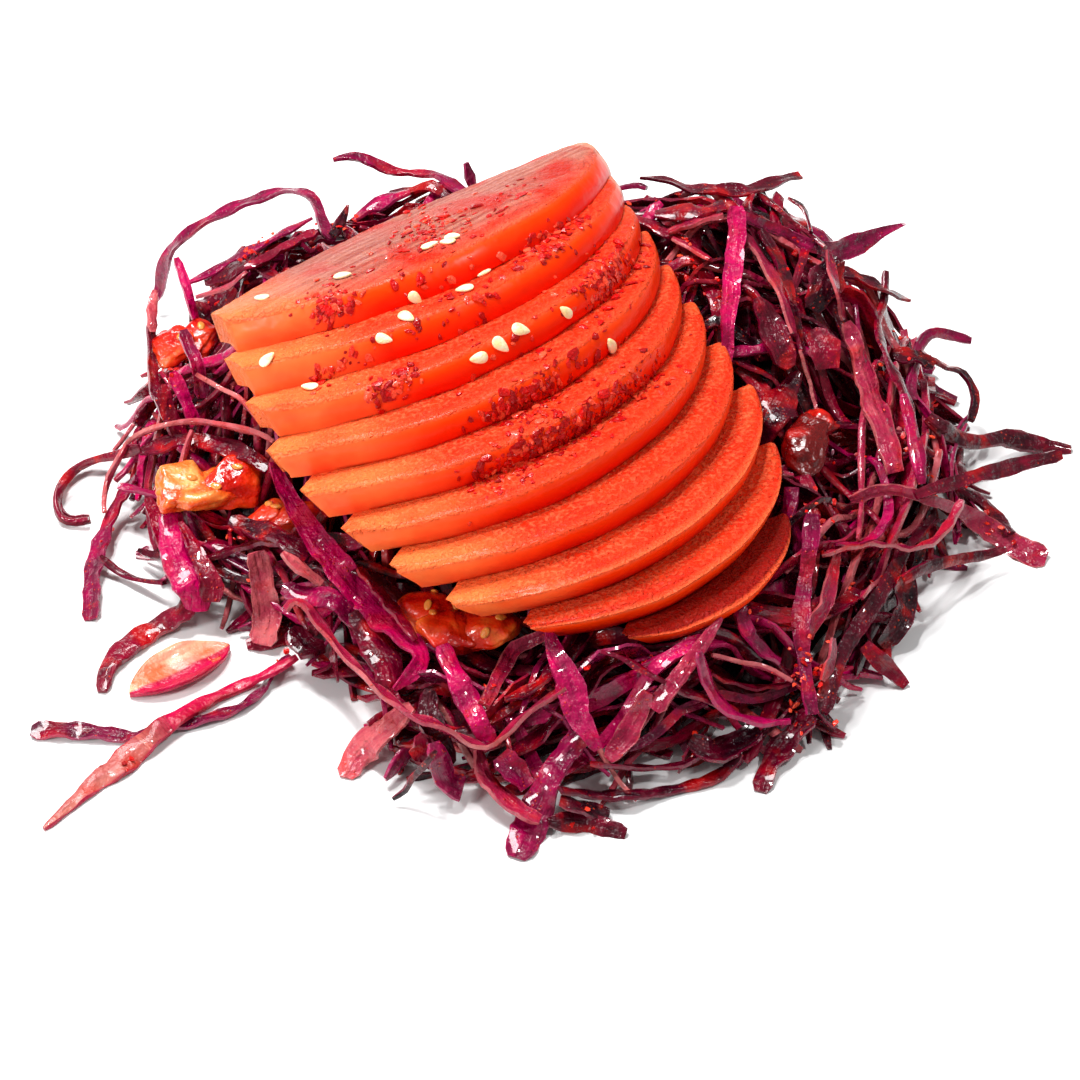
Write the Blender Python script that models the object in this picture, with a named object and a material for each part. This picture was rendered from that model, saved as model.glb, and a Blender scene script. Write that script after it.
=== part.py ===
"""Spicy red-cabbage salad: a loose heap of shreds that carries a fan of sliced tomato.

Units are metres, +Z is up, and the origin lies on the table under the middle of the fan.
+X runs to the right along the heap's longest side, and -Y is the front, where the fan ends.
The heap is one uneven solid. The ten tomato slices, the loose tomato chunks and the shreds
that lie on the table beside the heap are separate solids, a hair's breadth apart.
"""

import math

import bmesh
import bpy
from mathutils import Vector, noise

MM = 0.001
CLEARANCE = 0.3 * MM
UP = Vector((0, 0, 1))

# ---- the heap of shredded cabbage ----
HEAP_CENTRE = Vector((5, -8, 0)) * MM
HEAP_RADIUS = 66 * MM
HEAP_HEIGHT = 27 * MM
HEAP_SLOPE = 0.18            # the top falls towards the front right, along the fan
SLOPE_DIRECTION = Vector((0.6, -0.8, 0))
RIM_POWER = 3.2              # how flat the top stays before it rolls off to the rim
RIM_ROUNDNESS = 0.55
RIM_THICKNESS = 2 * MM       # shreds lying at the very edge
OVAL = 3 * MM                # wider than deep by twice this
OUTLINE_BUMPS = (            # direction and spread in degrees, and how far the edge goes out
    (-140, 22, -16 * MM),    # a bay at the front left
    (-28, 24, -6 * MM),
    (38, 20, 7 * MM),        # two shoulders at the back
    (142, 20, 7 * MM),
)
OUTLINE_WAVES = ((7, 1.4 * MM), (13, 1.0 * MM))
BACK_HUMP_HEIGHT = 9 * MM    # shreds piled up behind the fan's right side
BACK_HUMP_CENTRE = Vector((38, 32, 0)) * MM
BACK_HUMP_RADIUS = 24 * MM
TUFT_SIZE = 13 * MM          # coarse and fine unevenness of the surface
TUFT_HEIGHT = 2.6 * MM
SHRED_SIZE = 5 * MM
SHRED_HEIGHT = 1.3 * MM
HEAP_SEGMENTS = 96
HEAP_RINGS = 22

# ---- the fan of tomato slices, from the top one at the back to the small end cap ----
SLICE_COUNT = 10
SLICE_THICKNESS = 4.6 * MM
FRUIT_RADIUS = 47.2 * MM     # roundness of the whole fruit
CORE_OFFSET = 24.0 * MM      # how far from the fruit's middle the slices' straight side lies
END_CAP_DEPTH = 12.6 * MM    # skin left over beyond the smallest slice
END_SHARE = 0.75             # from here on the fruit narrows quickly to its end
END_NARROWING = 0.30
INNER_BULGE = 11.3 * MM      # the side away from the skin is gently rounded too
FAN_HEADING = (40.0, 47.0, 49.0)     # degrees from +X: first, middle and last slice
FAN_LEAN = (60.0, 67.0, 76.0)        # degrees from upright, falling over to the front
FAN_ROLL = 3.0                       # right-hand tips a little higher
FAN_PATH = (Vector((-18.5, 14.5, 41.5)) * MM, Vector((-2, -13.5, 31)) * MM, Vector((28.5, -43.5, 19)) * MM)
BLUNT_TIP = 0.8 * MM
CUT_TIP = 2.6 * MM                   # the first slices are cut short at both ends
CUT_SLICES = 3
ARC_STEPS = 18
INNER_STEPS = 8
SKIN_LAYERS = 3
BED_MARGIN = 4 * MM                  # free room in the heap around whatever lies on it
BED_GAP = 0.9 * MM

# ---- loose tomato chunks: name, middle, half sizes, turn in degrees ----
CHUNKS = (
    ("tomato_chunk_left", Vector((-48.5, -17.5, 13)) * MM, Vector((9.5, 5.0, 3.6)) * MM, 4),
    ("tomato_chunk_front", Vector((-9, -49.5, 13.5)) * MM, Vector((8.0, 5.0, 3.4)) * MM, -28),
    ("tomato_chunk_right", Vector((47.5, -10, 18.5)) * MM, Vector((3.2, 7.0, 3.2)) * MM, -24),
    ("tomato_chunk_back_left", Vector((-56, 15.5, 16)) * MM, Vector((5.2, 3.6, 3.0)) * MM, 20),
    ("tomato_chunk_near_left", Vector((-38, -25, 12.5)) * MM, Vector((5.6, 3.6, 2.6)) * MM, -8),
)
CHUNK_ROUGHNESS = 0.22
CHUNK_DETAIL = 3

# ---- shreds that lie on the table beside the heap: width, then the route of the middle line ----
SHRED_THICKNESS = 1.0 * MM
SHREDS = (
    (2.6, ((-75, -61, 0), (-66, -60.5, 0), (-57, -60, 0), (-48, -56, 0), (-42, -51, 0))),
    (3.4, ((-69, -79.5, 0), (-64, -72.5, 0), (-58.5, -66, 1), (-53.5, -59.5, 1.8), (-47.5, -53, 1.8))),
    (4.2, ((-65, -52, 0), (-63, -46, 0), (-59.5, -41, 0))),
    (3.2, ((-68.5, -36, 0), (-67, -29, 0), (-68.5, -21, 0))),
    (2.6, ((-75.5, -11, 0), (-76.5, -3, 0), (-73, 4, 0), (-71.5, 9, 0))),
    (3.6, ((-29, -72, 0), (-27.5, -68, 0), (-25.5, -64.5, 0))),
    (4.6, ((-0.5, -87, 0), (1, -81.5, 0), (2.5, -76, 0))),
    (3.0, ((18, -81, 0), (12.5, -80, 0), (7, -78, 0))),
    (3.8, ((35, -76, 0), (37, -71, 0), (39.5, -66.5, 0))),
    (3.0, ((66, -57, 0), (63.5, -53, 0), (61, -49, 0))),
    (3.4, ((87, -22.5, 0), (81.5, -17.5, 0), (76.5, -14.5, 0))),
    (3.8, ((93, 7, 0), (86, 9.5, 0), (78.5, 9, 0))),
)
SHRED_STEPS = 4                      # sections between two route points
SHRED_TAPER = 0.45                   # width left at the very ends
UNDERSIDE = 0.8                      # the side on the table is a little narrower

# ---- a pale piece of leaf lying flat in the bay at the front left ----
LEAF_MIDDLE = Vector((-52.5, -46, 0)) * MM
LEAF_LENGTH = 18 * MM
LEAF_WIDTH = 8.5 * MM
LEAF_THICKNESS = 1.2 * MM
LEAF_TURN = 36
LEAF_STEPS = 10


def make_material(name, colour, roughness):
    """A Principled material of one colour."""
    material = bpy.data.materials.new(name)
    material.use_nodes = True
    shader = material.node_tree.nodes["Principled BSDF"]
    shader.inputs["Base Color"].default_value = (*colour, 1)
    shader.inputs["Roughness"].default_value = roughness
    shader.inputs["Metallic"].default_value = 0
    return material


def add_object(name, mesh_data, material, smooth_angle=None):
    """Turns a bmesh into a named object in the salad's collection."""
    bmesh.ops.recalc_face_normals(mesh_data, faces=mesh_data.faces)
    mesh = bpy.data.meshes.new(name)
    mesh_data.to_mesh(mesh)
    mesh_data.free()
    mesh.materials.append(material)
    if smooth_angle is not None:
        mesh.shade_smooth()
        mesh.set_sharp_from_angle(angle=math.radians(smooth_angle))
    part = bpy.data.objects.new(name, mesh)
    salad.objects.link(part)
    return part


def loft(rings):
    """A closed skin through equal rings of points, with a flat cap at each end."""
    mesh_data = bmesh.new()
    rows = [[mesh_data.verts.new(point) for point in ring] for ring in rings]
    for lower, upper in zip(rows, rows[1:]):
        for i in range(len(lower)):
            j = (i + 1) % len(lower)
            mesh_data.faces.new((lower[i], lower[j], upper[j], upper[i]))
    mesh_data.faces.new(rows[0])
    mesh_data.faces.new(rows[-1])
    return mesh_data


def through(first, middle, last, t):
    """The parabola through three values at t = 0, 0.5 and 1."""
    return first * (1 - t) * (1 - 2 * t) + middle * 4 * t * (1 - t) + last * t * (2 * t - 1)


def smooth_route(points, steps):
    """Points along one smooth curve through the given ones."""
    ends = [points[0] * 2 - points[1]] + list(points) + [points[-1] * 2 - points[-2]]
    route = []
    for a, b, c, d in zip(ends, ends[1:], ends[2:], ends[3:]):
        for i in range(steps):
            t = i / steps
            cubic = (b * 3 - a - c * 3 + d) * t ** 3
            square = (a * 2 - b * 5 + c * 4 - d) * t ** 2
            route.append(b + ((c - a) * t + square + cubic) * 0.5)
    route.append(points[-1])
    return route


# ---------------------------------------------------------------- tomato slices

class Slice:
    """One tomato slice: its plane, its outline on each layer, and the place where it lies."""

    def __init__(self, index):
        t = index / (SLICE_COUNT - 1)
        heading = math.radians(through(*FAN_HEADING, t))
        lean = math.radians(through(*FAN_LEAN, t))
        roll = math.radians(FAN_ROLL)
        level = Vector((math.cos(heading), math.sin(heading), 0))
        forward = Vector((math.sin(heading), -math.cos(heading), 0))
        rise = forward * math.sin(lean) + UP * math.cos(lean)
        self.along = level * math.cos(roll) + rise * math.sin(roll)
        self.outward = rise * math.cos(roll) - level * math.sin(roll)
        self.normal = UP * math.sin(lean) - forward * math.cos(lean)
        self.middle = through(*FAN_PATH, t)
        self.depth = END_CAP_DEPTH + SLICE_THICKNESS * (SLICE_COUNT - index)
        self.narrowing = 1 - END_NARROWING * max(0, (t - END_SHARE) / (1 - END_SHARE)) ** 2
        self.tip_trim = CUT_TIP if index < CUT_SLICES else BLUNT_TIP

    def size_at(self, below):
        """Half length and skin bulge of the outline at a depth below the upper face."""
        height = FRUIT_RADIUS - (self.depth - below)
        radius = math.sqrt(FRUIT_RADIUS ** 2 - height ** 2)
        half_length = math.sqrt(radius ** 2 - CORE_OFFSET ** 2)
        return half_length * self.narrowing, (radius - CORE_OFFSET) * self.narrowing

    @staticmethod
    def arc(half_length, bulge, x):
        """Height at x of the circular arc that stands on a chord."""
        radius = (half_length ** 2 + bulge ** 2) / (2 * bulge)
        return math.sqrt(max(radius ** 2 - x ** 2, 0)) - (radius - bulge)

    def edges_at(self, x, below):
        """Inner and outer edge of the outline at x along the slice."""
        half_length, bulge = self.size_at(below)
        inner_bulge = INNER_BULGE * half_length / FRUIT_RADIUS
        return -self.arc(half_length, inner_bulge, x), self.arc(half_length, bulge, x)

    def ring(self, below):
        """The closed outline at a depth below the upper face."""
        half_length = self.size_at(below)[0]
        end = half_length - self.tip_trim
        flat = []
        for i in range(ARC_STEPS + 1):
            x = end * math.cos(math.pi * i / ARC_STEPS)
            flat.append((x, self.edges_at(x, below)[1]))
        for i in range(INNER_STEPS + 1):
            x = end * (2 * i / INNER_STEPS - 1)
            flat.append((x, self.edges_at(x, below)[0]))
        base = self.middle - self.normal * below
        return [base + self.along * x + self.outward * y for x, y in flat]

    def rest_on(self, lower):
        """Moves this slice off the one beneath it, until the two are just clear."""
        points = self.ring(SLICE_THICKNESS)
        nearest = min((point - lower.middle).dot(lower.normal) for point in points)
        self.middle += lower.normal * (CLEARANCE - nearest)

    def underside_above(self, x, y):
        """Height of the underside over a point of the table, or None beside the slice."""
        base = self.middle - self.normal * SLICE_THICKNESS
        slope = (base.x - x) * self.normal.x + (base.y - y) * self.normal.y
        point = Vector((x, y, base.z + slope / self.normal.z))
        along = (point - base).dot(self.along)
        across = (point - base).dot(self.outward)
        half_length = self.size_at(SLICE_THICKNESS)[0]
        if abs(along) > half_length + BED_MARGIN:
            return None
        inner, outer = self.edges_at(max(-half_length, min(half_length, along)), SLICE_THICKNESS)
        if inner - BED_MARGIN < across < outer + BED_MARGIN:
            return point.z
        return None


def arrange_slices():
    """The fan, built up from its lowest slice at the front."""
    fan = [Slice(index) for index in range(SLICE_COUNT)]
    for upper, lower in reversed(list(zip(fan, fan[1:]))):
        upper.rest_on(lower)
    return fan


def make_slices(fan, material):
    for number, piece in enumerate(fan, start=1):
        layers = [SLICE_THICKNESS * i / SKIN_LAYERS for i in range(SKIN_LAYERS + 1)]
        mesh_data = loft([piece.ring(below) for below in layers])
        add_object(f"tomato_slice_{number:02d}", mesh_data, material, 40)


# ---------------------------------------------------------------- the heap

def bump(angle, centre, spread):
    """A smooth bump of height one around an angle."""
    away = math.remainder(angle - centre, math.tau)
    return math.exp(-(away / spread) ** 2)


def heap_outline(angle):
    """Distance from the heap's centre to its edge."""
    edge = HEAP_RADIUS + OVAL * math.cos(2 * angle)
    for direction, spread, depth in OUTLINE_BUMPS:
        edge += depth * bump(angle, math.radians(direction), math.radians(spread))
    for waves, depth in OUTLINE_WAVES:
        edge += depth * math.sin(waves * angle + 1)
    return edge


def open_height(x, y, share):
    """Height of the heap's surface where nothing lies on it, share of the way to the edge."""
    towards_front = (Vector((x, y, 0)) - HEAP_CENTRE).dot(SLOPE_DIRECTION)
    top = HEAP_HEIGHT - HEAP_SLOPE * towards_front
    hump = (Vector((x, y, 0)) - BACK_HUMP_CENTRE).length / BACK_HUMP_RADIUS
    top += BACK_HUMP_HEIGHT * math.exp(-hump ** 2)
    relief = TUFT_HEIGHT * noise.noise(Vector((x, y, 0)) / TUFT_SIZE)
    relief += SHRED_HEIGHT * noise.noise(Vector((x, y, TUFT_SIZE)) / SHRED_SIZE)
    roll_off = (1 - share ** RIM_POWER) ** RIM_ROUNDNESS
    return RIM_THICKNESS + (top - RIM_THICKNESS + relief) * roll_off


def heap_height(x, y, share, fan):
    """Height of the heap's surface, kept below the slices and chunks that lie on it."""
    height = open_height(x, y, share)
    for piece in fan:
        underside = piece.underside_above(x, y)
        if underside is not None:
            height = min(height, underside - BED_GAP)
    for _, middle, half, _ in CHUNKS:
        away = math.hypot(x - middle.x, y - middle.y)
        if away < max(half.x, half.y) * (1 + CHUNK_ROUGHNESS) + BED_MARGIN:
            height = min(height, middle.z - half.z * (1 + CHUNK_ROUGHNESS) - BED_GAP)
    return max(height, RIM_THICKNESS)


def make_heap(fan, material):
    """The upper half of a globe, spread out to the outline and lifted to the heap's surface."""
    mesh_data = bmesh.new()
    bmesh.ops.create_uvsphere(mesh_data, u_segments=HEAP_SEGMENTS, v_segments=2 * HEAP_RINGS, radius=1)
    below = [vert for vert in mesh_data.verts if vert.co.z < -0.001]
    bmesh.ops.delete(mesh_data, geom=below, context="VERTS")
    for vert in mesh_data.verts:
        angle = math.atan2(vert.co.y, vert.co.x)
        share = math.acos(max(-1, min(1, vert.co.z))) / (math.pi / 2)
        on_rim = share > 0.999
        reach = heap_outline(angle) * share
        x = HEAP_CENTRE.x + reach * math.cos(angle)
        y = HEAP_CENTRE.y + reach * math.sin(angle)
        height = 0 if on_rim else heap_height(x, y, share, fan)
        vert.co = Vector((x, y, height))
    rim = [edge for edge in mesh_data.edges if edge.is_boundary]
    bmesh.ops.holes_fill(mesh_data, edges=rim, sides=HEAP_SEGMENTS)
    add_object("cabbage_heap", mesh_data, material)


# ---------------------------------------------------------------- chunks, shreds and leaf

def make_chunks(material):
    """Ragged lumps of chopped tomato."""
    for number, (name, middle, half, turn) in enumerate(CHUNKS):
        mesh_data = bmesh.new()
        bmesh.ops.create_icosphere(mesh_data, subdivisions=CHUNK_DETAIL, radius=1)
        cosine = math.cos(math.radians(turn))
        sine = math.sin(math.radians(turn))
        for vert in mesh_data.verts:
            lump = 1 + CHUNK_ROUGHNESS * noise.noise(vert.co * 1.7 + Vector((number * 5, 0, 0)))
            x = vert.co.x * lump * half.x
            y = vert.co.y * lump * half.y
            z = vert.co.z * lump * half.z
            vert.co = middle + Vector((x * cosine - y * sine, x * sine + y * cosine, z))
        add_object(name, mesh_data, material, 50)


def make_shreds(material):
    """Flat shreds of cabbage, each swept along its route and narrowed at its ends."""
    for number, (width, points) in enumerate(SHREDS, start=1):
        route = smooth_route([Vector(point) * MM for point in points], SHRED_STEPS)
        rings = []
        for i, point in enumerate(route):
            before = route[max(i - 1, 0)]
            after = route[min(i + 1, len(route) - 1)]
            side = UP.cross(after - before).normalized()
            t = i / (len(route) - 1)
            taper = SHRED_TAPER + (1 - SHRED_TAPER) * math.sin(math.pi * t) ** 0.5
            half = side * width * MM / 2 * taper
            low = Vector((point.x, point.y, max(point.z, 0)))
            high = low + UP * SHRED_THICKNESS
            rings.append((low - half * UNDERSIDE, low + half * UNDERSIDE, high + half, high - half))
        add_object(f"cabbage_shred_{number:02d}", loft(rings), material)


def make_leaf(material):
    """A lens-shaped piece of leaf."""
    along = Vector((math.cos(math.radians(LEAF_TURN)), math.sin(math.radians(LEAF_TURN)), 0))
    across = UP.cross(along)
    rings = []
    for height in (0, LEAF_THICKNESS):
        ring = []
        for side in (1, -1):
            for i in range(LEAF_STEPS):
                turn = math.pi * i / LEAF_STEPS
                x = side * math.cos(turn) * LEAF_LENGTH / 2
                y = side * math.sin(turn) ** 1.5 * LEAF_WIDTH / 2
                ring.append(LEAF_MIDDLE + along * x + across * y + UP * height)
        rings.append(ring)
    add_object("cabbage_leaf_pale", loft(rings), material)


for old in list(bpy.data.objects):
    bpy.data.objects.remove(old)
salad = bpy.data.collections.new("spicy_cabbage_salad")
bpy.context.scene.collection.children.link(salad)

cabbage_red = make_material("red cabbage", (0.13, 0.004, 0.035), 0.35)
cabbage_pale = make_material("pale cabbage", (0.62, 0.22, 0.25), 0.4)
tomato_red = make_material("tomato", (0.85, 0.06, 0.01), 0.3)
tomato_pulp = make_material("tomato pulp", (0.72, 0.10, 0.02), 0.3)

tomato_fan = arrange_slices()
make_slices(tomato_fan, tomato_red)
make_heap(tomato_fan, cabbage_red)
make_chunks(tomato_pulp)
make_shreds(cabbage_red)
make_leaf(cabbage_pale)
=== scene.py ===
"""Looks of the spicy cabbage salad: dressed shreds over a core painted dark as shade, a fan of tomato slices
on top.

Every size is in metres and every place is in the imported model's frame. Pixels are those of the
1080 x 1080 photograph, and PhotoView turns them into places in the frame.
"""

import math
import random

import bmesh
import bpy
import numpy as np
from mathutils import Matrix, Vector, noise
from mathutils.bvhtree import BVHTree


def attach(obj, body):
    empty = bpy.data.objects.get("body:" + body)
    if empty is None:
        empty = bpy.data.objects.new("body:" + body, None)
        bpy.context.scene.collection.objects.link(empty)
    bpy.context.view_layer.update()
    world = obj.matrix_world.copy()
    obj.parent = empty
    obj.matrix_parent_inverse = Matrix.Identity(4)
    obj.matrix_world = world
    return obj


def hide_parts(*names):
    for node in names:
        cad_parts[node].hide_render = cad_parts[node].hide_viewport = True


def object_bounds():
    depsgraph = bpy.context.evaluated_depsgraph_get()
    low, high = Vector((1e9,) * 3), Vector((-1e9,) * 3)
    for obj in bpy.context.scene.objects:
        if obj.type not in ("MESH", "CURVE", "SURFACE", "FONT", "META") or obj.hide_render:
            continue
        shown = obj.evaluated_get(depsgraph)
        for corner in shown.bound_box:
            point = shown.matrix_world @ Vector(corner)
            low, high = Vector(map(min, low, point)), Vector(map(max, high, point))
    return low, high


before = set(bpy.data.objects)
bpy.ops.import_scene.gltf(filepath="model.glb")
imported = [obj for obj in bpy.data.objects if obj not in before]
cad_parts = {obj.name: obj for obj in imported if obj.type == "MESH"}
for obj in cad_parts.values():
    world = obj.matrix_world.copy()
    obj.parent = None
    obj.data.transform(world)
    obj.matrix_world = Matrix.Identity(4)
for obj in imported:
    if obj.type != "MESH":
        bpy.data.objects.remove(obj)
cad_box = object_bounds()

MM = 0.001
UP = Vector((0, 0, 1))
DOWN = Vector((0, 0, -1))

# ---- camera and light ----
PHOTO_SIZE = 1080
VIEW_ELEVATION = 42
VIEW_DISTANCE = 0.5
VIEW_LENS = 100
VIEW_SENSOR = 36
VIEW_AIM = (3.33 * MM, -10 * MM)      # to the right of the origin, and above it in the picture
SURROUND = 0.22
LIGHT_TARGET = Vector((0, 0, 10)) * MM
LIGHTS = (                            # name, place, size and watts
    ("key", (-0.20, 0.20, 0.52), (0.20, 0.18), 3.5),
    ("spark", (-0.10, 0.10, 0.60), (0.05, 0.05), 2.0),
    ("fill", (0.30, -0.12, 0.52), (0.06, 0.06), 1.0),
    ("front", (-0.45, -0.34, 0.30), (0.12, 0.12), 2.0),
)

# ---- the heap and its core ----
CELL = 0.5 * MM                       # grid of heights
GRID_MARGIN = 15 * MM
HEAP_MIDDLE = (5 * MM, -8 * MM)
CORE_DEPTH = 7.5 * MM                 # shreds fill this much of the heap's outside
CORE_INSET = 9 * MM                   # and the core stops this far inside its rim
CORE_SLOPE = 2.6
CORE_SEGMENTS = 120
CORE_RINGS = 46

# ---- how shreds are laid ----
FINE_STEP = 0.6 * MM                  # samples along a shred while it settles
TRACED_RINGS = 2                      # a ring of the mesh at every second sample of a traced shred
LOOSE_RINGS = 3                       # and at every third sample of the others
SETTLE_ROUNDS = 60                    # how stiffly a shred bridges what is under it
PRESS = 0.35 * MM                     # how far it sinks into the soft shreds below
TOP_SHARE = 0.9                       # how much of its half height the next shred rests on
HIGHEST = 62 * MM                     # no line of sight meets the salad above this
BACK_PLANE = 47 * MM                  # shreds seen against the background stand about here
TRACED_BREADTH = 1.15                 # from the widths seen to those of the twisted shreds
SLOPE_LIMIT = 0.9                     # how steeply a traced shred leaves the view's plane
LOOSE_TRIES = 6400
LOOSE_LENGTHS = (36, 120)             # in mm
SHORTEST = 24                         # samples
GAP_CHOICES = 5                       # a shred starts in the deepest of this many gaps
STAND_PROUD = 1.4 * MM                # above the CAD heap, on average
STAND_MOST = 7 * MM                   # and anywhere
MOST_HIDDEN = 0.9                     # share of a shred that may lie under the tomato
EASING_ROUNDS = 4                     # where the tomato presses it down
HEADING_SPREAD = 36                   # degrees away from running round the heap
BENDS = (9, 15)                       # middle and spread, in radians to the metre
SWAY_SPREAD = 14                      # of the swing that is added to the bend
HOOK_SHARE = 0.1                      # of the loose shreds are short and sharply bent
HOOK_BENDS = (45, 95)
HOOK_SAMPLES = 60
OVERHANGS = (2, 9)                    # samples past the heap's edge
FLAT_SHARE = 0.62                     # of them lie flat, and the others stand on edge
FLAT_TWISTS = (0, 28)                 # middle and spread, in degrees
UPRIGHT_TWISTS = (90, 24)
TWIST_SPREAD = 45                     # from end to end
CURL_MOST = 0.3                       # as a share of the half width
TRACED_CURLS = (0.05, 0.25)
TRACED_THICKNESS = (0.55, 0.85)       # in mm
TRACED_BLUNTNESS = 0.65               # share of the width that is left at the very ends
TRACED_FACING = (0.9, 0.7)            # how much a traced shred faces up, and towards the camera


def spots(text):
    """Pixels written as across,down, with spaces between them."""
    return [tuple(int(number) for number in spot.split(",")) for spot in text.split()]


def srgb(red, green, blue):
    """A colour given as it looks in a picture, from 0 to 255."""
    parts = [c / 255 for c in (red, green, blue)]
    linear = [c / 12.92 if c <= 0.04045 else ((c + 0.055) / 1.055) ** 2.4 for c in parts]
    return (*linear, 1)


# ---------------------------------------------------------------- the photograph's view

class PhotoView:
    """The camera's place and axes, and the line of sight through each of the photo's pixels."""

    def __init__(self):
        tilt = math.radians(VIEW_ELEVATION)
        self.forward = np.array((0, math.cos(tilt), -math.sin(tilt)))
        self.up = np.array((0, math.sin(tilt), math.cos(tilt)))
        self.right = np.array((1.0, 0, 0))
        aim = self.right * VIEW_AIM[0] + self.up * VIEW_AIM[1]
        self.place = aim - self.forward * VIEW_DISTANCE
        self.focal = VIEW_LENS / VIEW_SENSOR * PHOTO_SIZE

    def sight(self, u, v):
        """Direction through a pixel, one metre long along the camera's own axis."""
        across = (np.asarray(u, float) - PHOTO_SIZE / 2) / self.focal
        rise = (PHOTO_SIZE / 2 - np.asarray(v, float)) / self.focal
        return self.forward + np.multiply.outer(across, self.right) + np.multiply.outer(rise, self.up)

    def add_camera(self):
        lens = bpy.data.cameras.new("camera")
        lens.lens = VIEW_LENS
        lens.sensor_width = VIEW_SENSOR
        lens.clip_start = 0.01
        camera = bpy.data.objects.new("camera", lens)
        axes = Matrix((self.right, self.up, -self.forward)).transposed().to_4x4()
        axes.translation = Vector(self.place)
        camera.matrix_world = axes
        bpy.context.scene.collection.objects.link(camera)
        bpy.context.scene.camera = camera


def add_light(name, place, size, power):
    lamp = bpy.data.lights.new(name, "AREA")
    lamp.shape = "RECTANGLE"
    lamp.size, lamp.size_y = size
    lamp.energy = power
    light = bpy.data.objects.new(name, lamp)
    light.location = place
    light.rotation_euler = (LIGHT_TARGET - Vector(place)).to_track_quat("-Z", "Y").to_euler()
    bpy.context.scene.collection.objects.link(light)


def add_studio():
    """A pale floor under a soft white surround and four soft boxes."""
    bpy.context.scene.view_settings.view_transform = "Standard"
    world = bpy.data.worlds.new("studio")
    world.use_nodes = True
    background = world.node_tree.nodes["Background"]
    background.inputs["Color"].default_value = (1, 1, 1, 1)
    background.inputs["Strength"].default_value = SURROUND
    bpy.context.scene.world = world
    for light in LIGHTS:
        add_light(*light)

    bpy.ops.mesh.primitive_plane_add(size=6)
    floor = bpy.context.object
    floor.name = "floor"
    paint = Paint("floor", Roughness=0.6)
    grain = paint.noise(30, 3, 0.3, 0.7)
    paint.colour(paint.mix(grain, (0.90, 0.90, 0.90, 1), (0.93, 0.93, 0.93, 1)))
    floor.data.materials.append(paint.material)


# ---------------------------------------------------------------- materials

class Paint:
    """A Principled material, with short ways to add the nodes that the salad's materials share."""

    def __init__(self, name, **sockets):
        self.material = bpy.data.materials.new(name)
        self.material.use_nodes = True
        self.tree = self.material.node_tree
        self.shader = self.tree.nodes["Principled BSDF"]
        for socket, value in sockets.items():
            self.shader.inputs[socket.replace("_", " ")].default_value = value
        self.place = self.tree.nodes.new("ShaderNodeTexCoord").outputs["Object"]

    def feed(self, socket, value):
        """Links an output to a socket, or sets the socket to a constant."""
        if isinstance(value, bpy.types.NodeSocket):
            self.tree.links.new(value, socket)
        else:
            socket.default_value = value

    def node(self, kind, inputs, **settings):
        """A node with these settings, and what goes into its sockets."""
        node = self.tree.nodes.new("ShaderNode" + kind)
        for name, value in settings.items():
            setattr(node, name, value)
        for socket, value in inputs.items():
            self.feed(node.inputs[socket], value)
        return node

    def attribute(self, name):
        return self.node("Attribute", {}, attribute_name=name).outputs["Fac"]

    def math(self, operation, first, second, clamped=True):
        return self.node("Math", {0: first, 1: second}, operation=operation, use_clamp=clamped).outputs[0]

    def total(self, first, second):
        """A sum that isn't cut off at 0 and 1."""
        return self.math("ADD", first, second, clamped=False)

    def spread(self, value, low, high, to_low=0.0, to_high=1.0):
        """Stretches low..high to to_low..to_high."""
        inputs = {"Value": value, "From Min": low, "From Max": high, "To Min": to_low, "To Max": to_high}
        return self.node("MapRange", inputs).outputs["Result"]

    def noise(self, scale, detail=2, low=0.35, high=0.65, where=None, distortion=0.0):
        """Noise with features of about 1 / scale metres, stretched from low..high to 0..1."""
        inputs = {"Vector": where or self.place, "Scale": scale, "Detail": detail, "Distortion": distortion}
        return self.spread(self.node("TexNoise", inputs).outputs["Fac"], low, high)

    def streaks(self, along, across, low=0.3, high=0.7):
        """Noise that follows each piece: lengthwise and crosswise, each with its own scale."""
        scales = {"X": ("along", along), "Y": ("across", across), "Z": ("tone", 40)}
        inputs = {axis: self.math("MULTIPLY", self.attribute(name), scale, clamped=False)
                  for axis, (name, scale) in scales.items()}
        return self.noise(1.0, 3, low, high, self.node("CombineXYZ", inputs).outputs["Vector"])

    def cells(self, scale, low, high):
        """Round spots about 1 / scale metres apart: 1 in their middles."""
        inputs = {"Vector": self.place, "Scale": scale}
        return self.spread(self.node("TexVoronoi", inputs).outputs["Distance"], low, high, 1.0, 0.0)

    def mix(self, factor, first, second):
        return self.node("Mix", {0: factor, 6: first, 7: second}, data_type="RGBA").outputs[2]

    def stain(self, colour, mask, strength, stain):
        """The colour with a stain of this strength where the mask is 1."""
        return self.mix(self.math("MULTIPLY", mask, strength), colour, stain)

    def ramp(self, factor, *stops):
        """Colours at positions from 0 to 1."""
        node = self.node("ValToRGB", {"Fac": factor})
        ramp = node.color_ramp
        ramp.elements[0].position, ramp.elements[0].color = stops[0]
        ramp.elements[1].position, ramp.elements[1].color = stops[-1]
        for position, colour in stops[1:-1]:
            ramp.elements.new(position).color = colour
        return node.outputs["Color"]

    def colour(self, value):
        self.feed(self.shader.inputs["Base Color"], value)

    def roughness(self, value):
        self.feed(self.shader.inputs["Roughness"], value)

    def relief(self, *layers):
        """Bumps, each a height output and its depth in metres."""
        inputs = {}
        for height, depth in layers:
            inputs.update({"Height": height, "Distance": depth})
            inputs["Normal"] = self.node("Bump", inputs).outputs["Normal"]
        self.feed(self.shader.inputs["Normal"], inputs["Normal"])


CHILI_OIL = srgb(186, 12, 4)

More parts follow.
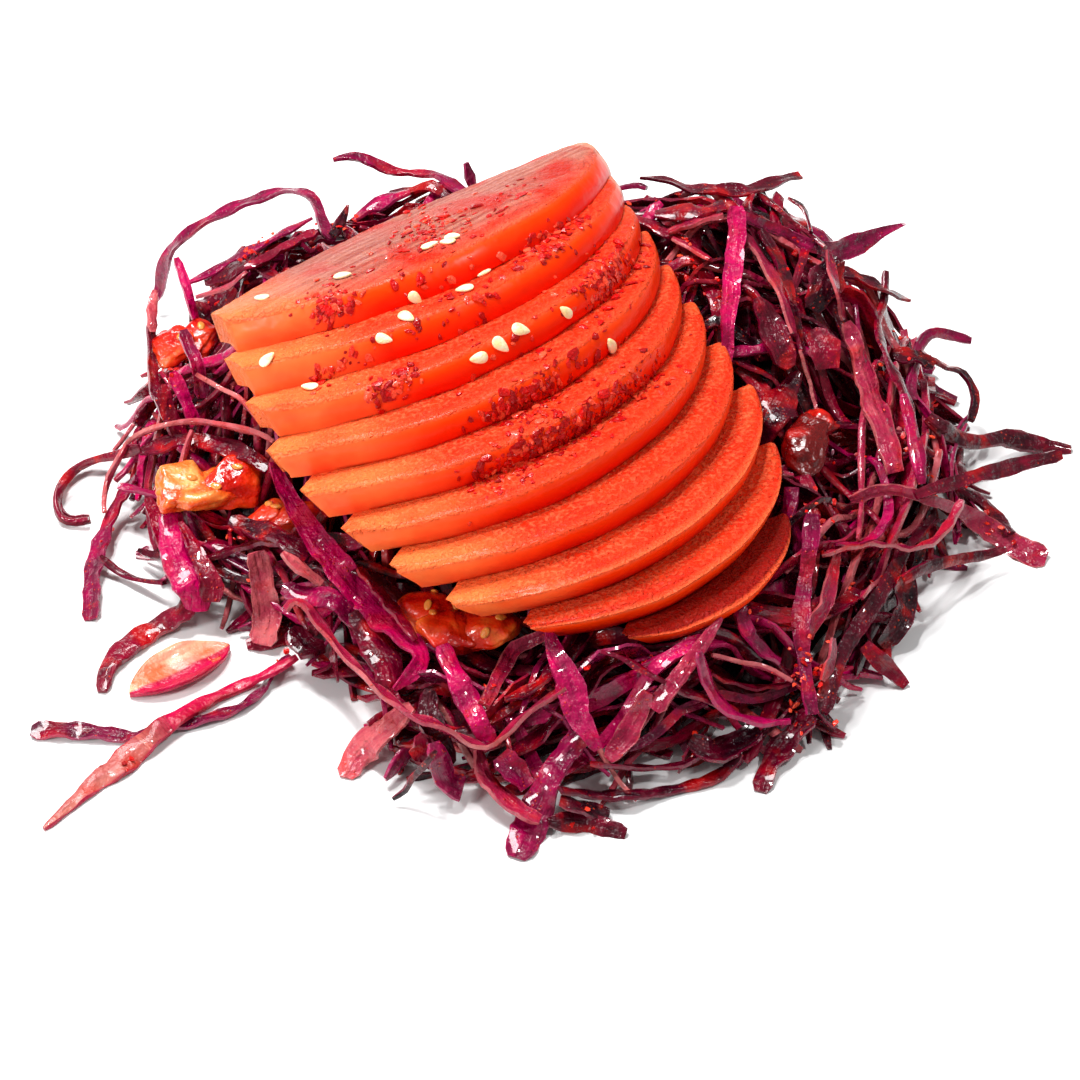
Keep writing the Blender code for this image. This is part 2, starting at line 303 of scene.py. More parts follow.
# three tones of the leaf and the colour of its cut sides, then how much the cut sides and the oil show
CABBAGE = {
    "burgundy": ("burgundy cabbage", (26, 0, 9), (86, 0, 25), (134, 0, 38), (156, 22, 64), 0.45, 0.65),
    "magenta": ("magenta cabbage", (72, 0, 32), (128, 0, 56), (186, 0, 80), (196, 56, 108), 0.5, 0.45),
    "pink": ("pale cabbage", (120, 2, 42), (158, 28, 62), (200, 92, 96), (218, 134, 126), 0.6, 0.6),
}


def cabbage_paint(name, deep, middle, bright, cut, cut_strength, oil):
    """Dressed red cabbage: glossy leaf sides, paler cut sides, streaks along the shred, chili oil."""
    paint = Paint(name, Coat_Weight=0.5, Coat_Roughness=0.05, Specular_IOR_Level=0.2)
    streaks = paint.streaks(60, 900)
    blotches = paint.noise(260, 2, 0.3, 0.7)
    tone = paint.total(paint.attribute("tone"), paint.spread(blotches, 0, 1, -0.24, 0.26))
    tone = paint.total(tone, paint.spread(streaks, 0, 1, -0.14, 0.18))
    leaf = paint.ramp(tone, (0.0, srgb(*deep)), (0.5, srgb(*middle)), (1.0, srgb(*bright)))
    cut_side = paint.mix(streaks, srgb(*cut), srgb(*middle))
    colour = paint.stain(leaf, paint.attribute("cut"), cut_strength, cut_side)
    colour = paint.stain(colour, paint.noise(150, 4, 0.52, 0.66, None, 0.6), oil, CHILI_OIL)
    speckled = paint.math("MULTIPLY", paint.cells(1100, 0.10, 0.24), paint.noise(210, 2, 0.48, 0.60))
    paint.colour(paint.stain(colour, speckled, 0.7, srgb(232, 60, 22)))
    paint.roughness(paint.spread(paint.noise(420, 3), 0, 1, 0.16, 0.40))
    paint.relief((streaks, 0.20 * MM), (paint.noise(800, 2), 0.16 * MM), (speckled, 0.14 * MM),
                 (paint.noise(260, 2), 0.26 * MM))
    return paint.material


def core_shade_paint():
    # painted shade: darker than any shred, so the gaps between the shreds look like deep shadow
    paint = Paint("cabbage core shade", Roughness=0.5)
    paint.colour(paint.mix(paint.noise(300, 4), srgb(14, 0, 4), srgb(58, 2, 20)))
    paint.relief((paint.noise(420, 4), 0.6 * MM))
    return paint.material


def tomato_paint():
    """Moist granular cut faces, and smooth skin that turns orange at the ends. A painted highlight runs along
    each face's outer edge, and painted shade darkens the lowest slices' faces.
    """
    paint = Paint("tomato slice", Coat_Weight=0.04, Coat_Roughness=0.15, Subsurface_Weight=0.10,
                  Subsurface_Radius=(1.0, 0.16, 0.05), Subsurface_Scale=1.6 * MM, Specular_IOR_Level=0.12)
    skin = paint.attribute("skin")
    grain = paint.noise(1500, 3, 0.42, 0.60)
    pits = paint.cells(1500, 0.05, 0.3)
    flesh = paint.mix(paint.noise(170, 3, 0.3, 0.7, None, 0.4), srgb(212, 30, 5), srgb(232, 62, 22))
    flesh = paint.stain(flesh, grain, 0.5, srgb(242, 116, 72))
    flesh = paint.stain(flesh, pits, 0.35, srgb(188, 26, 8))
    flesh = paint.stain(flesh, paint.attribute("edge"), 0.8, srgb(236, 32, 2))
    pale = paint.mix(paint.streaks(50, 900, 0.35, 0.65), srgb(180, 118, 100), srgb(140, 62, 52))
    pale = paint.mix(paint.noise(85, 3, 0.46, 0.66, None, 0.8), pale, srgb(176, 22, 8))
    flesh = paint.mix(paint.attribute("pale"), flesh, pale)
    # painted shade: the faces of the two lowest slices, darkened where the slices above shade them
    flesh = paint.mix(paint.attribute("dark"), flesh, srgb(128, 0, 0))
    peel = paint.mix(paint.noise(90, 2), srgb(252, 34, 0), srgb(246, 18, 0))
    peel = paint.mix(paint.attribute("lower"), srgb(255, 62, 0), peel)
    colour = paint.mix(skin, flesh, peel)
    colour = paint.stain(colour, paint.attribute("ends"), paint.noise(120, 3, 0.1, 0.6), srgb(250, 124, 62))
    # painted highlight: a pale line along the outer edge of each cut face and the top of its skin
    colour = paint.mix(paint.attribute("rim"), colour, srgb(246, 110, 62))
    paint.colour(paint.mix(paint.attribute("cut_end"), colour, srgb(226, 150, 124)))
    paint.roughness(paint.mix(skin, paint.spread(grain, 0, 1, 0.38, 0.56), (0.30,) * 3 + (1,)))
    dry = paint.math("SUBTRACT", 1.0, skin)
    paint.relief((paint.math("MULTIPLY", grain, dry), 0.22 * MM),
                 (paint.math("MULTIPLY", pits, dry), 0.12 * MM),
                 (paint.noise(240, 2), 0.10 * MM))
    return paint.material


def pulp_paint():
    """Chopped tomato: wet flesh from dark red to pale orange, with yellow seeds."""
    paint = Paint("chopped tomato", Coat_Weight=0.4, Coat_Roughness=0.06, Subsurface_Weight=0.3,
                  Subsurface_Radius=(1.0, 0.2, 0.05), Subsurface_Scale=1.5 * MM)
    clouds = paint.noise(120, 3, 0.32, 0.68, None, 0.8)
    ripeness = paint.total(paint.attribute("tone"), paint.spread(clouds, 0, 1, -0.30, 0.34))
    flesh = paint.ramp(ripeness, (0.0, srgb(104, 2, 2)), (0.28, srgb(196, 14, 2)), (0.55, srgb(232, 52, 8)),
                       (0.80, srgb(240, 112, 36)), (1.0, srgb(244, 164, 84)))
    paint.colour(paint.mix(paint.attribute("seed"), flesh, srgb(240, 140, 58)))
    paint.roughness(paint.spread(clouds, 0, 1, 0.20, 0.40))
    paint.relief((paint.noise(300, 3), 0.22 * MM), (paint.noise(900, 2), 0.08 * MM))
    return paint.material


def leaf_paint(name, light, dark, stain):
    """The inner side of a leaf or rib, stained by the oil, with magenta edges."""
    paint = Paint(name, Coat_Weight=0.2, Coat_Roughness=0.12, Specular_IOR_Level=0.3,
                  Subsurface_Weight=0.1, Subsurface_Radius=(1.0, 0.5, 0.4), Subsurface_Scale=1 * MM)
    veins = paint.streaks(60, 420)
    flesh = paint.mix(veins, srgb(*light), srgb(*dark))
    flesh = paint.stain(flesh, paint.noise(190, 3, 0.48, 0.64, None, 0.5), 0.8, srgb(*stain))
    rim = paint.mix(veins, srgb(196, 0, 70), srgb(148, 0, 22))
    flesh = paint.mix(paint.attribute("cut"), flesh, rim)
    paint.colour(paint.mix(paint.attribute("tone"), flesh, rim))
    paint.roughness(paint.spread(veins, 0, 1, 0.26, 0.5))
    paint.relief((veins, 0.2 * MM), (paint.noise(600, 3), 0.18 * MM))
    return paint.material


def sesame_paint():
    paint = Paint("sesame", Roughness=0.42, Coat_Weight=0.2, Subsurface_Weight=0.15,
                  Subsurface_Radius=(0.6, 0.4, 0.2), Subsurface_Scale=1 * MM)
    paint.colour(paint.mix(paint.noise(700, 2), srgb(246, 226, 160), srgb(255, 245, 205)))
    paint.relief((paint.noise(2600, 2), 0.05 * MM))
    return paint.material


def flake_paint():
    """Crushed chili: dark red to orange, still oily."""
    paint = Paint("chili flakes", Coat_Weight=0.25, Coat_Roughness=0.12, Specular_IOR_Level=0.2)
    paint.colour(paint.ramp(paint.attribute("tone"), (0.0, srgb(150, 0, 4)), (0.6, srgb(212, 8, 2)),
                            (1.0, srgb(248, 84, 52))))
    paint.roughness(paint.spread(paint.noise(1800, 2), 0, 1, 0.2, 0.45))
    paint.relief((paint.noise(2400, 2), 0.08 * MM))
    return paint.material


# ---------------------------------------------------------------- meshes

class MeshMaker:
    """Gathers many small shapes into one mesh, with named numbers on its points."""

    def __init__(self, *attributes):
        self.points = []
        self.faces = []
        self.count = 0
        self.values = {name: [] for name in attributes}

    def add(self, points, faces, **values):
        """Adds a shape: each value is one number or one for each of its points."""
        self.points.append(np.asarray(points, float))
        self.faces.extend(tuple(int(i) + self.count for i in face) for face in faces)
        self.count += len(points)
        for name, gathered in self.values.items():
            gathered.append(np.broadcast_to(np.asarray(values.get(name, 0.0), float), (len(points),)))

    def build(self, name, material, slot, *nodes, crisp=0):
        """The finished piece, riding with the salad and standing for the named CAD nodes.

        Corners sharper than crisp degrees are left unsmoothed."""
        mesh = bpy.data.meshes.new(name)
        mesh.from_pydata(np.concatenate(self.points).tolist(), [], self.faces)
        for attribute, gathered in self.values.items():
            layer = mesh.attributes.new(attribute, "FLOAT", "POINT")
            layer.data.foreach_set("value", np.concatenate(gathered).astype(np.float32))
        mesh.shade_smooth()
        if crisp:
            mesh.set_sharp_from_angle(angle=math.radians(crisp))
        mesh.materials.append(material)
        piece = bpy.data.objects.new(name, mesh)
        bpy.context.scene.collection.objects.link(piece)
        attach(piece, "root")
        if nodes:
            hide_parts(*nodes)
        return piece

    def tree(self):
        points = [Vector(point) for point in np.concatenate(self.points)]
        return BVHTree.FromPolygons(points, self.faces)


def node_points(node):
    """The corners of a CAD node's mesh."""
    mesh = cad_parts[node].data
    points = np.zeros(len(mesh.vertices) * 3)
    mesh.vertices.foreach_get("co", points)
    return points.reshape(-1, 3)


def node_tree(names):
    """A search tree of several CAD nodes' faces."""
    points = []
    faces = []
    for name in names:
        start = len(points)
        points.extend(Vector(point) for point in node_points(name))
        faces.extend([start + i for i in face.vertices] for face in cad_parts[name].data.polygons)
    return BVHTree.FromPolygons(points, faces)


def unit(vectors):
    return vectors / np.maximum(np.linalg.norm(vectors, axis=-1, keepdims=True), 1e-12)


def rounded(value):
    """A smooth step from 0 to 1."""
    value = np.clip(value, 0, 1)
    return value * value * (3 - 2 * value)


def tube(rings, sides):
    """Faces of a closed tube whose rings run anticlockwise, as seen from its far end."""
    corner = np.arange(sides)
    after = (corner + 1) % sides
    start = np.arange(rings - 1)[:, None] * sides
    walls = np.stack((start + corner, start + after, start + sides + after, start + sides + corner), axis=2)
    return [corner[::-1], (rings - 1) * sides + corner, *walls.reshape(-1, 4)]


def curve_through(points, step):
    """Points about a step apart, on a smooth curve through the given ones."""
    points = np.asarray(points, float)
    ends = np.vstack((2 * points[0] - points[1], points, 2 * points[-1] - points[-2]))
    dense = []
    for a, b, c, d in zip(ends, ends[1:], ends[2:], ends[3:]):
        t = np.linspace(0, 1, 24, endpoint=False)[:, None]
        cubic = (3 * b - a - 3 * c + d) * t ** 3
        square = (2 * a - 5 * b + 4 * c - d) * t ** 2
        dense.append(b + 0.5 * ((c - a) * t + square + cubic))
    dense = np.vstack(dense + [points[-1:]])
    lengths = np.concatenate(([0], np.cumsum(np.linalg.norm(np.diff(dense, axis=0), axis=1))))
    wanted = np.linspace(0, lengths[-1], max(4, int(round(lengths[-1] / step)) + 1))
    return np.stack([np.interp(wanted, lengths, dense[:, i]) for i in range(dense.shape[1])], axis=1)


def soften(values):
    """Each value evened out with its two neighbours."""
    padded = np.concatenate((values[:1], values, values[-1:]))
    return (padded[:-2] + 2 * padded[1:-1] + padded[2:]) / 4


# ---------------------------------------------------------------- shreds

# across and through the shred, as shares of its half width and half thickness, and the cut side's share
SECTION = np.array((
    (0.86, -0.92, 0.0), (0.0, -1.0, 0.0), (-0.86, -0.92, 0.0), (-1.00, -0.8, 1.0), (-1.00, 0.8, 1.0),
    (-0.86, 0.92, 0.0), (0.0, 1.0, 0.0), (0.86, 0.92, 0.0), (1.00, 0.8, 1.0), (1.00, -0.8, 1.0),
))
WAVE_SHARE = 0.09            # slow changes of width along a shred
RIPPLE_SHARE = 0.10          # and quick ones
RIPPLE_TWIST = 0.22
END_LENGTH = 1.6 * MM        # over which the ends narrow
FADE_SPAN = 0.12             # share of its length over which a rib turns into leaf
TABLE_GAP = 0.05 * MM
FOOTPRINT_PLACES = 7         # across a shred, where it meets the pile
SIGHT_SAMPLES = 500          # along a line of sight


def turned_size(flat, upright, twist):
    """Size in one direction of a section that is turned from flat towards upright."""
    return np.abs(np.cos(twist)) * flat + np.abs(np.sin(twist)) * upright


class Shred:
    """One shred: its sizes, and how it twists and narrows along its length."""

    def __init__(self, dice, widths, thickness, twists, tone, curl=0.0, blunt=0.5):
        self.widths = widths
        self.thickness = thickness
        self.twists = twists
        self.tone = tone
        self.curl = curl
        self.blunt = blunt
        self.fade = 0.0
        self.waves = [(dice.uniform(0.5, 2.5), dice.uniform(0, math.tau)) for _ in range(2)]
        self.ripples = [(dice.uniform(4, 9) * MM, dice.uniform(0, math.tau)) for _ in range(3)]

    def shape(self, count):
        """Half widths, half thicknesses and twists at evenly spread samples."""
        t = np.linspace(0, 1, count)
        half = np.interp(t, np.linspace(0, 1, len(self.widths)), self.widths) / 2
        for waves, start in self.waves:
            half = half * (1 + WAVE_SHARE * np.sin(waves * math.tau * t + start))
        along = t * count * FINE_STEP
        width_wave, twist_wave, edge_wave = [np.sin(along / period * math.tau + start)
                                             for period, start in self.ripples]
        half = half * (1 + RIPPLE_SHARE * width_wave * edge_wave)
        reach = np.minimum(1, np.minimum(t, 1 - t) * count * FINE_STEP / END_LENGTH)
        ends = self.blunt + (1 - self.blunt) * np.sqrt(1 - (1 - reach) ** 2)
        twist = np.radians(np.interp(t, np.linspace(0, 1, len(self.twists)), self.twists))
        thick = np.full(count, self.thickness / 2) * (0.5 + 0.5 * ends)
        return half * ends, thick, twist + RIPPLE_TWIST * twist_wave

    def sweep(self, maker, points, normal, half, thick, twist, every):
        """Adds its mesh along the points, with a ring at every second or third of them."""
        points, half, thick, twist = points[::every], half[::every], thick[::every], twist[::every]
        normals = np.broadcast_to(normal, points.shape)
        tangents = unit(np.gradient(points, axis=0))
        side = unit(np.cross(tangents, normals))
        normal = np.cross(side, tangents)
        cosine = np.cos(twist)[:, None]
        sine = np.sin(twist)[:, None]
        side, normal = side * cosine + normal * sine, normal * cosine - side * sine
        across = SECTION[:, 0] * half[:, None]
        through = SECTION[:, 1] * thick[:, None] + self.curl * (SECTION[:, 0] ** 2 - 0.5) * half[:, None]
        rings = points[:, None] + side[:, None] * across[..., None] + normal[:, None] * through[..., None]
        rings[..., 2] = np.maximum(rings[..., 2], TABLE_GAP)
        count, sides = across.shape
        along = np.repeat(np.arange(count) * FINE_STEP * every, sides)
        tone = self.tone
        if self.fade:
            tone = np.repeat(rounded((np.linspace(0, 1, count) - self.fade) / FADE_SPAN), sides)
        maker.add(rings.reshape(-1, 3), tube(count, sides), tone=tone, along=along, across=across.ravel(),
                  cut=np.tile(SECTION[:, 2], count))


class Pile:
    """A grid of heights, so that each new shred comes to rest on the ones before it."""

    def __init__(self):
        low, high = cad_box
        self.corner = np.array((low.x - GRID_MARGIN, low.y - GRID_MARGIN))
        columns = int((high.x - low.x + 2 * GRID_MARGIN) / CELL)
        rows = int((high.y - low.y + 2 * GRID_MARGIN) / CELL)
        heap = node_tree(["cabbage_heap"])
        carried = node_tree([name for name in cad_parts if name.startswith("tomato")])
        self.heap = np.zeros((rows, columns))
        self.ceiling = np.full((rows, columns), np.inf)
        for row in range(rows):
            for column in range(columns):
                x, y = self.corner + np.array((column, row)) * CELL
                top = heap.ray_cast(Vector((x, y, 0.2)), DOWN)[0]
                if top is not None:
                    self.heap[row, column] = top.z
                underside = carried.ray_cast(Vector((x, y, -0.01)), UP)[0]
                if underside is not None:
                    self.ceiling[row, column] = underside.z
        self.core = self.core_heights()
        self.height = self.core.copy()

    def core_heights(self):
        """The core: deep under the heap's top, and deeper still towards its rim."""
        rows, columns = np.indices(self.heap.shape)
        x = self.corner[0] + columns * CELL - HEAP_MIDDLE[0]
        y = self.corner[1] + rows * CELL - HEAP_MIDDLE[1]
        angles = np.linspace(-math.pi, math.pi, CORE_SEGMENTS + 1)
        self.core_reach = np.array([self.rim(angle) - CORE_INSET for angle in angles])
        share = np.hypot(x, y) / np.interp(np.arctan2(y, x), angles, self.core_reach)
        return np.maximum(self.heap - CORE_DEPTH, 0) * rounded((1 - share) * CORE_SLOPE)

    def rim(self, angle):
        """How far from its middle the heap ends in this direction."""
        reach = np.arange(0, 110 * MM, CELL)
        x = HEAP_MIDDLE[0] + np.cos(angle) * reach
        under = self.at(self.heap, x, HEAP_MIDDLE[1] + np.sin(angle) * reach)
        return reach[np.nonzero(under)[0].max()]

    def cell(self, x, y):
        rows, columns = self.heap.shape
        column = np.clip(((x - self.corner[0]) / CELL + 0.5).astype(int), 0, columns - 1)
        row = np.clip(((y - self.corner[1]) / CELL + 0.5).astype(int), 0, rows - 1)
        return row, column

    def at(self, grid, x, y):
        return grid[self.cell(np.asarray(x), np.asarray(y))]

    def footprint(self, route, half):
        """Places under a shred, from one side to the other, for each sample of its route."""
        heading = unit(np.gradient(route, axis=0))
        side = np.stack((-heading[:, 1], heading[:, 0]), axis=1)
        offsets = np.linspace(-1, 1, FOOTPRINT_PLACES)[None, :, None]
        places = route[:, None] + side[:, None] * offsets * half[:, None, None]
        return places[..., 0], places[..., 1]

    def stamp(self, route, half, tops):
        """Raises the pile to the tops of a shred that has been laid."""
        x, y = self.footprint(route, half)
        np.maximum.at(self.height, self.cell(x, y), np.broadcast_to(tops[:, None], x.shape))

    def meet(self, u, v):
        """How far along the lines of sight through these pixels the pile or the table begins."""
        sight = view.sight(u, v)
        near = (HIGHEST - view.place[2]) / sight[:, 2]
        far = -view.place[2] / sight[:, 2]
        shares = np.linspace(0, 1, SIGHT_SAMPLES)
        reach = near[:, None] + (far - near)[:, None] * shares
        x, y, z = [view.place[axis] + reach * sight[:, axis, None] for axis in range(3)]
        hit = (z <= self.at(self.height, x, y)) | (y > BACK_PLANE)
        hit[:, -1] = True
        return np.take_along_axis(reach, hit.argmax(axis=1)[:, None], axis=1)[:, 0]


def lay_traced(maker, shred, pixels):
    """Lays a shred so that it follows pixels of the photo, outside all that lies there already."""
    route = curve_through(spots(pixels), FINE_STEP * view.focal / VIEW_DISTANCE)
    sight = view.sight(route[:, 0], route[:, 1])
    half, thick, twist = shred.shape(len(route))
    rise = turned_size(thick, half, twist)
    reach = pile.meet(route[:, 0], route[:, 1]) - rise
    for order in (1, -1):
        reach = reach[::order]
        for i in range(1, len(reach)):
            reach[i] = min(reach[i], reach[i - 1] + SLOPE_LIMIT * FINE_STEP)
        reach = reach[::order]
    outside = reach.copy()
    for _ in range(SETTLE_ROUNDS):
        reach = np.minimum(outside, soften(reach))
    points = view.place + sight * reach[:, None]
    points[:, 2] = np.maximum(points[:, 2], thick)
    upward, nearer = TRACED_FACING
    normal = unit(np.array(UP) * upward - view.forward * nearer)
    pile.stamp(points[:, :2], half, points[:, 2] + rise * TOP_SHARE)
    shred.sweep(maker, points, normal, half, thick, twist, TRACED_RINGS)


def loose_route(dice):
    """A gently curved route over the heap, or None where it runs off too soon."""
    rows, columns = np.nonzero(pile.heap)
    picks = [dice.randrange(len(rows)) for _ in range(GAP_CHOICES)]
    depths = pile.heap - pile.height
    pick = max(picks, key=lambda i: depths[rows[i], columns[i]])
    start = pile.corner + np.array((columns[pick], rows[pick])) * CELL
    away = start - HEAP_MIDDLE
    heading = math.degrees(math.atan2(away[1], away[0])) + 90 + dice.gauss(0, HEADING_SPREAD)
    samples = int(dice.uniform(*LOOSE_LENGTHS) * MM / FINE_STEP)
    bend = dice.gauss(*BENDS)
    if dice.random() < HOOK_SHARE:
        bend = dice.choice((-1, 1)) * dice.uniform(*HOOK_BENDS)
        samples = min(samples, HOOK_SAMPLES)
    sway = dice.gauss(0, SWAY_SPREAD)
    steps = np.arange(samples) - samples // 2
    turn = bend + sway * np.sin(steps / samples * math.tau + dice.uniform(0, math.tau))
    angle = math.radians(heading) + np.cumsum(turn) * FINE_STEP
    angle -= angle[samples // 2] - math.radians(heading)
    route = np.stack((np.cumsum(np.cos(angle)), np.cumsum(np.sin(angle))), axis=1) * FINE_STEP
    route += start - route[samples // 2]
    inside = pile.at(pile.heap, route[:, 0], route[:, 1]) > 0
    first = samples // 2
    while first > 0 and inside[first]:
        first -= 1
    last = samples // 2
    while last < samples - 1 and inside[last]:
        last += 1
    overhang = dice.randrange(*OVERHANGS)
    first = max(0, first - overhang)
    last = min(samples, last + overhang)
    return route[first:last] if last - first >= SHORTEST else None


def lay_loose(maker, shred, route):
    """Lays a shred on the pile under its own weight, unless it would stand out of the heap."""
    half, thick, twist = shred.shape(len(route))
    rise = turned_size(thick, half, twist)
    width = turned_size(half, thick, twist)
    x, y = pile.footprint(route, width)
    low = pile.at(pile.height, x, y).max(axis=1) - PRESS
    resting = low.copy()
    for _ in range(SETTLE_ROUNDS):
        resting = np.maximum(low, soften(resting))
    middle = resting + rise
    ceiling = pile.at(pile.ceiling, x, y).min(axis=1) - rise - PRESS
    surface = pile.at(pile.heap, route[:, 0], route[:, 1])
    hidden = np.isfinite(ceiling)
    if hidden.mean() > MOST_HIDDEN:
        return
    proud = (middle - surface)[~hidden]
    if proud.mean() > STAND_PROUD or proud.max() > STAND_MOST:
        return
    middle = np.minimum(middle, ceiling)
    for _ in range(EASING_ROUNDS):
        middle = np.minimum(soften(middle), ceiling)
    middle = np.maximum(middle, thick)
    pile.stamp(route, width, middle + rise * TOP_SHARE)
    points = np.column_stack((route, middle))
    shred.sweep(maker, points, np.array(UP), half, thick, twist, LOOSE_RINGS)


# share of the loose shreds, and least and greatest width and thickness in mm
KINDS = {
    "burgundy": (0.60, (1.4, 3.5), (0.5, 0.9)),
    "magenta": (0.28, (1.3, 3.2), (0.5, 0.9)),
    "pink": (0.12, (1.1, 2.3), (0.7, 1.2)),
}


def fill_heap(tangles):
    """Drops shreds on the core, a fixed number of tries, each starting in the deepest of a few gaps."""
    dice = random.Random(11)
    for _ in range(LOOSE_TRIES):
        kind = dice.choices(list(KINDS), [share for share, _, _ in KINDS.values()])[0]
        _, breadths, depths = KINDS[kind]
        width = dice.uniform(*breadths) * MM
        widths = (width * dice.uniform(0.5, 1), width, width * dice.uniform(0.4, 1))
        lying = dice.gauss(*(FLAT_TWISTS if dice.random() < FLAT_SHARE else UPRIGHT_TWISTS))
        twists = (lying, lying + dice.gauss(0, TWIST_SPREAD))
        thickness = dice.uniform(*depths) * MM
        shred = Shred(dice, widths, thickness, twists, dice.random(), dice.uniform(-CURL_MOST, CURL_MOST))
        route = loose_route(dice)
        if route is not None:
            lay_loose(tangles[kind], shred, route)


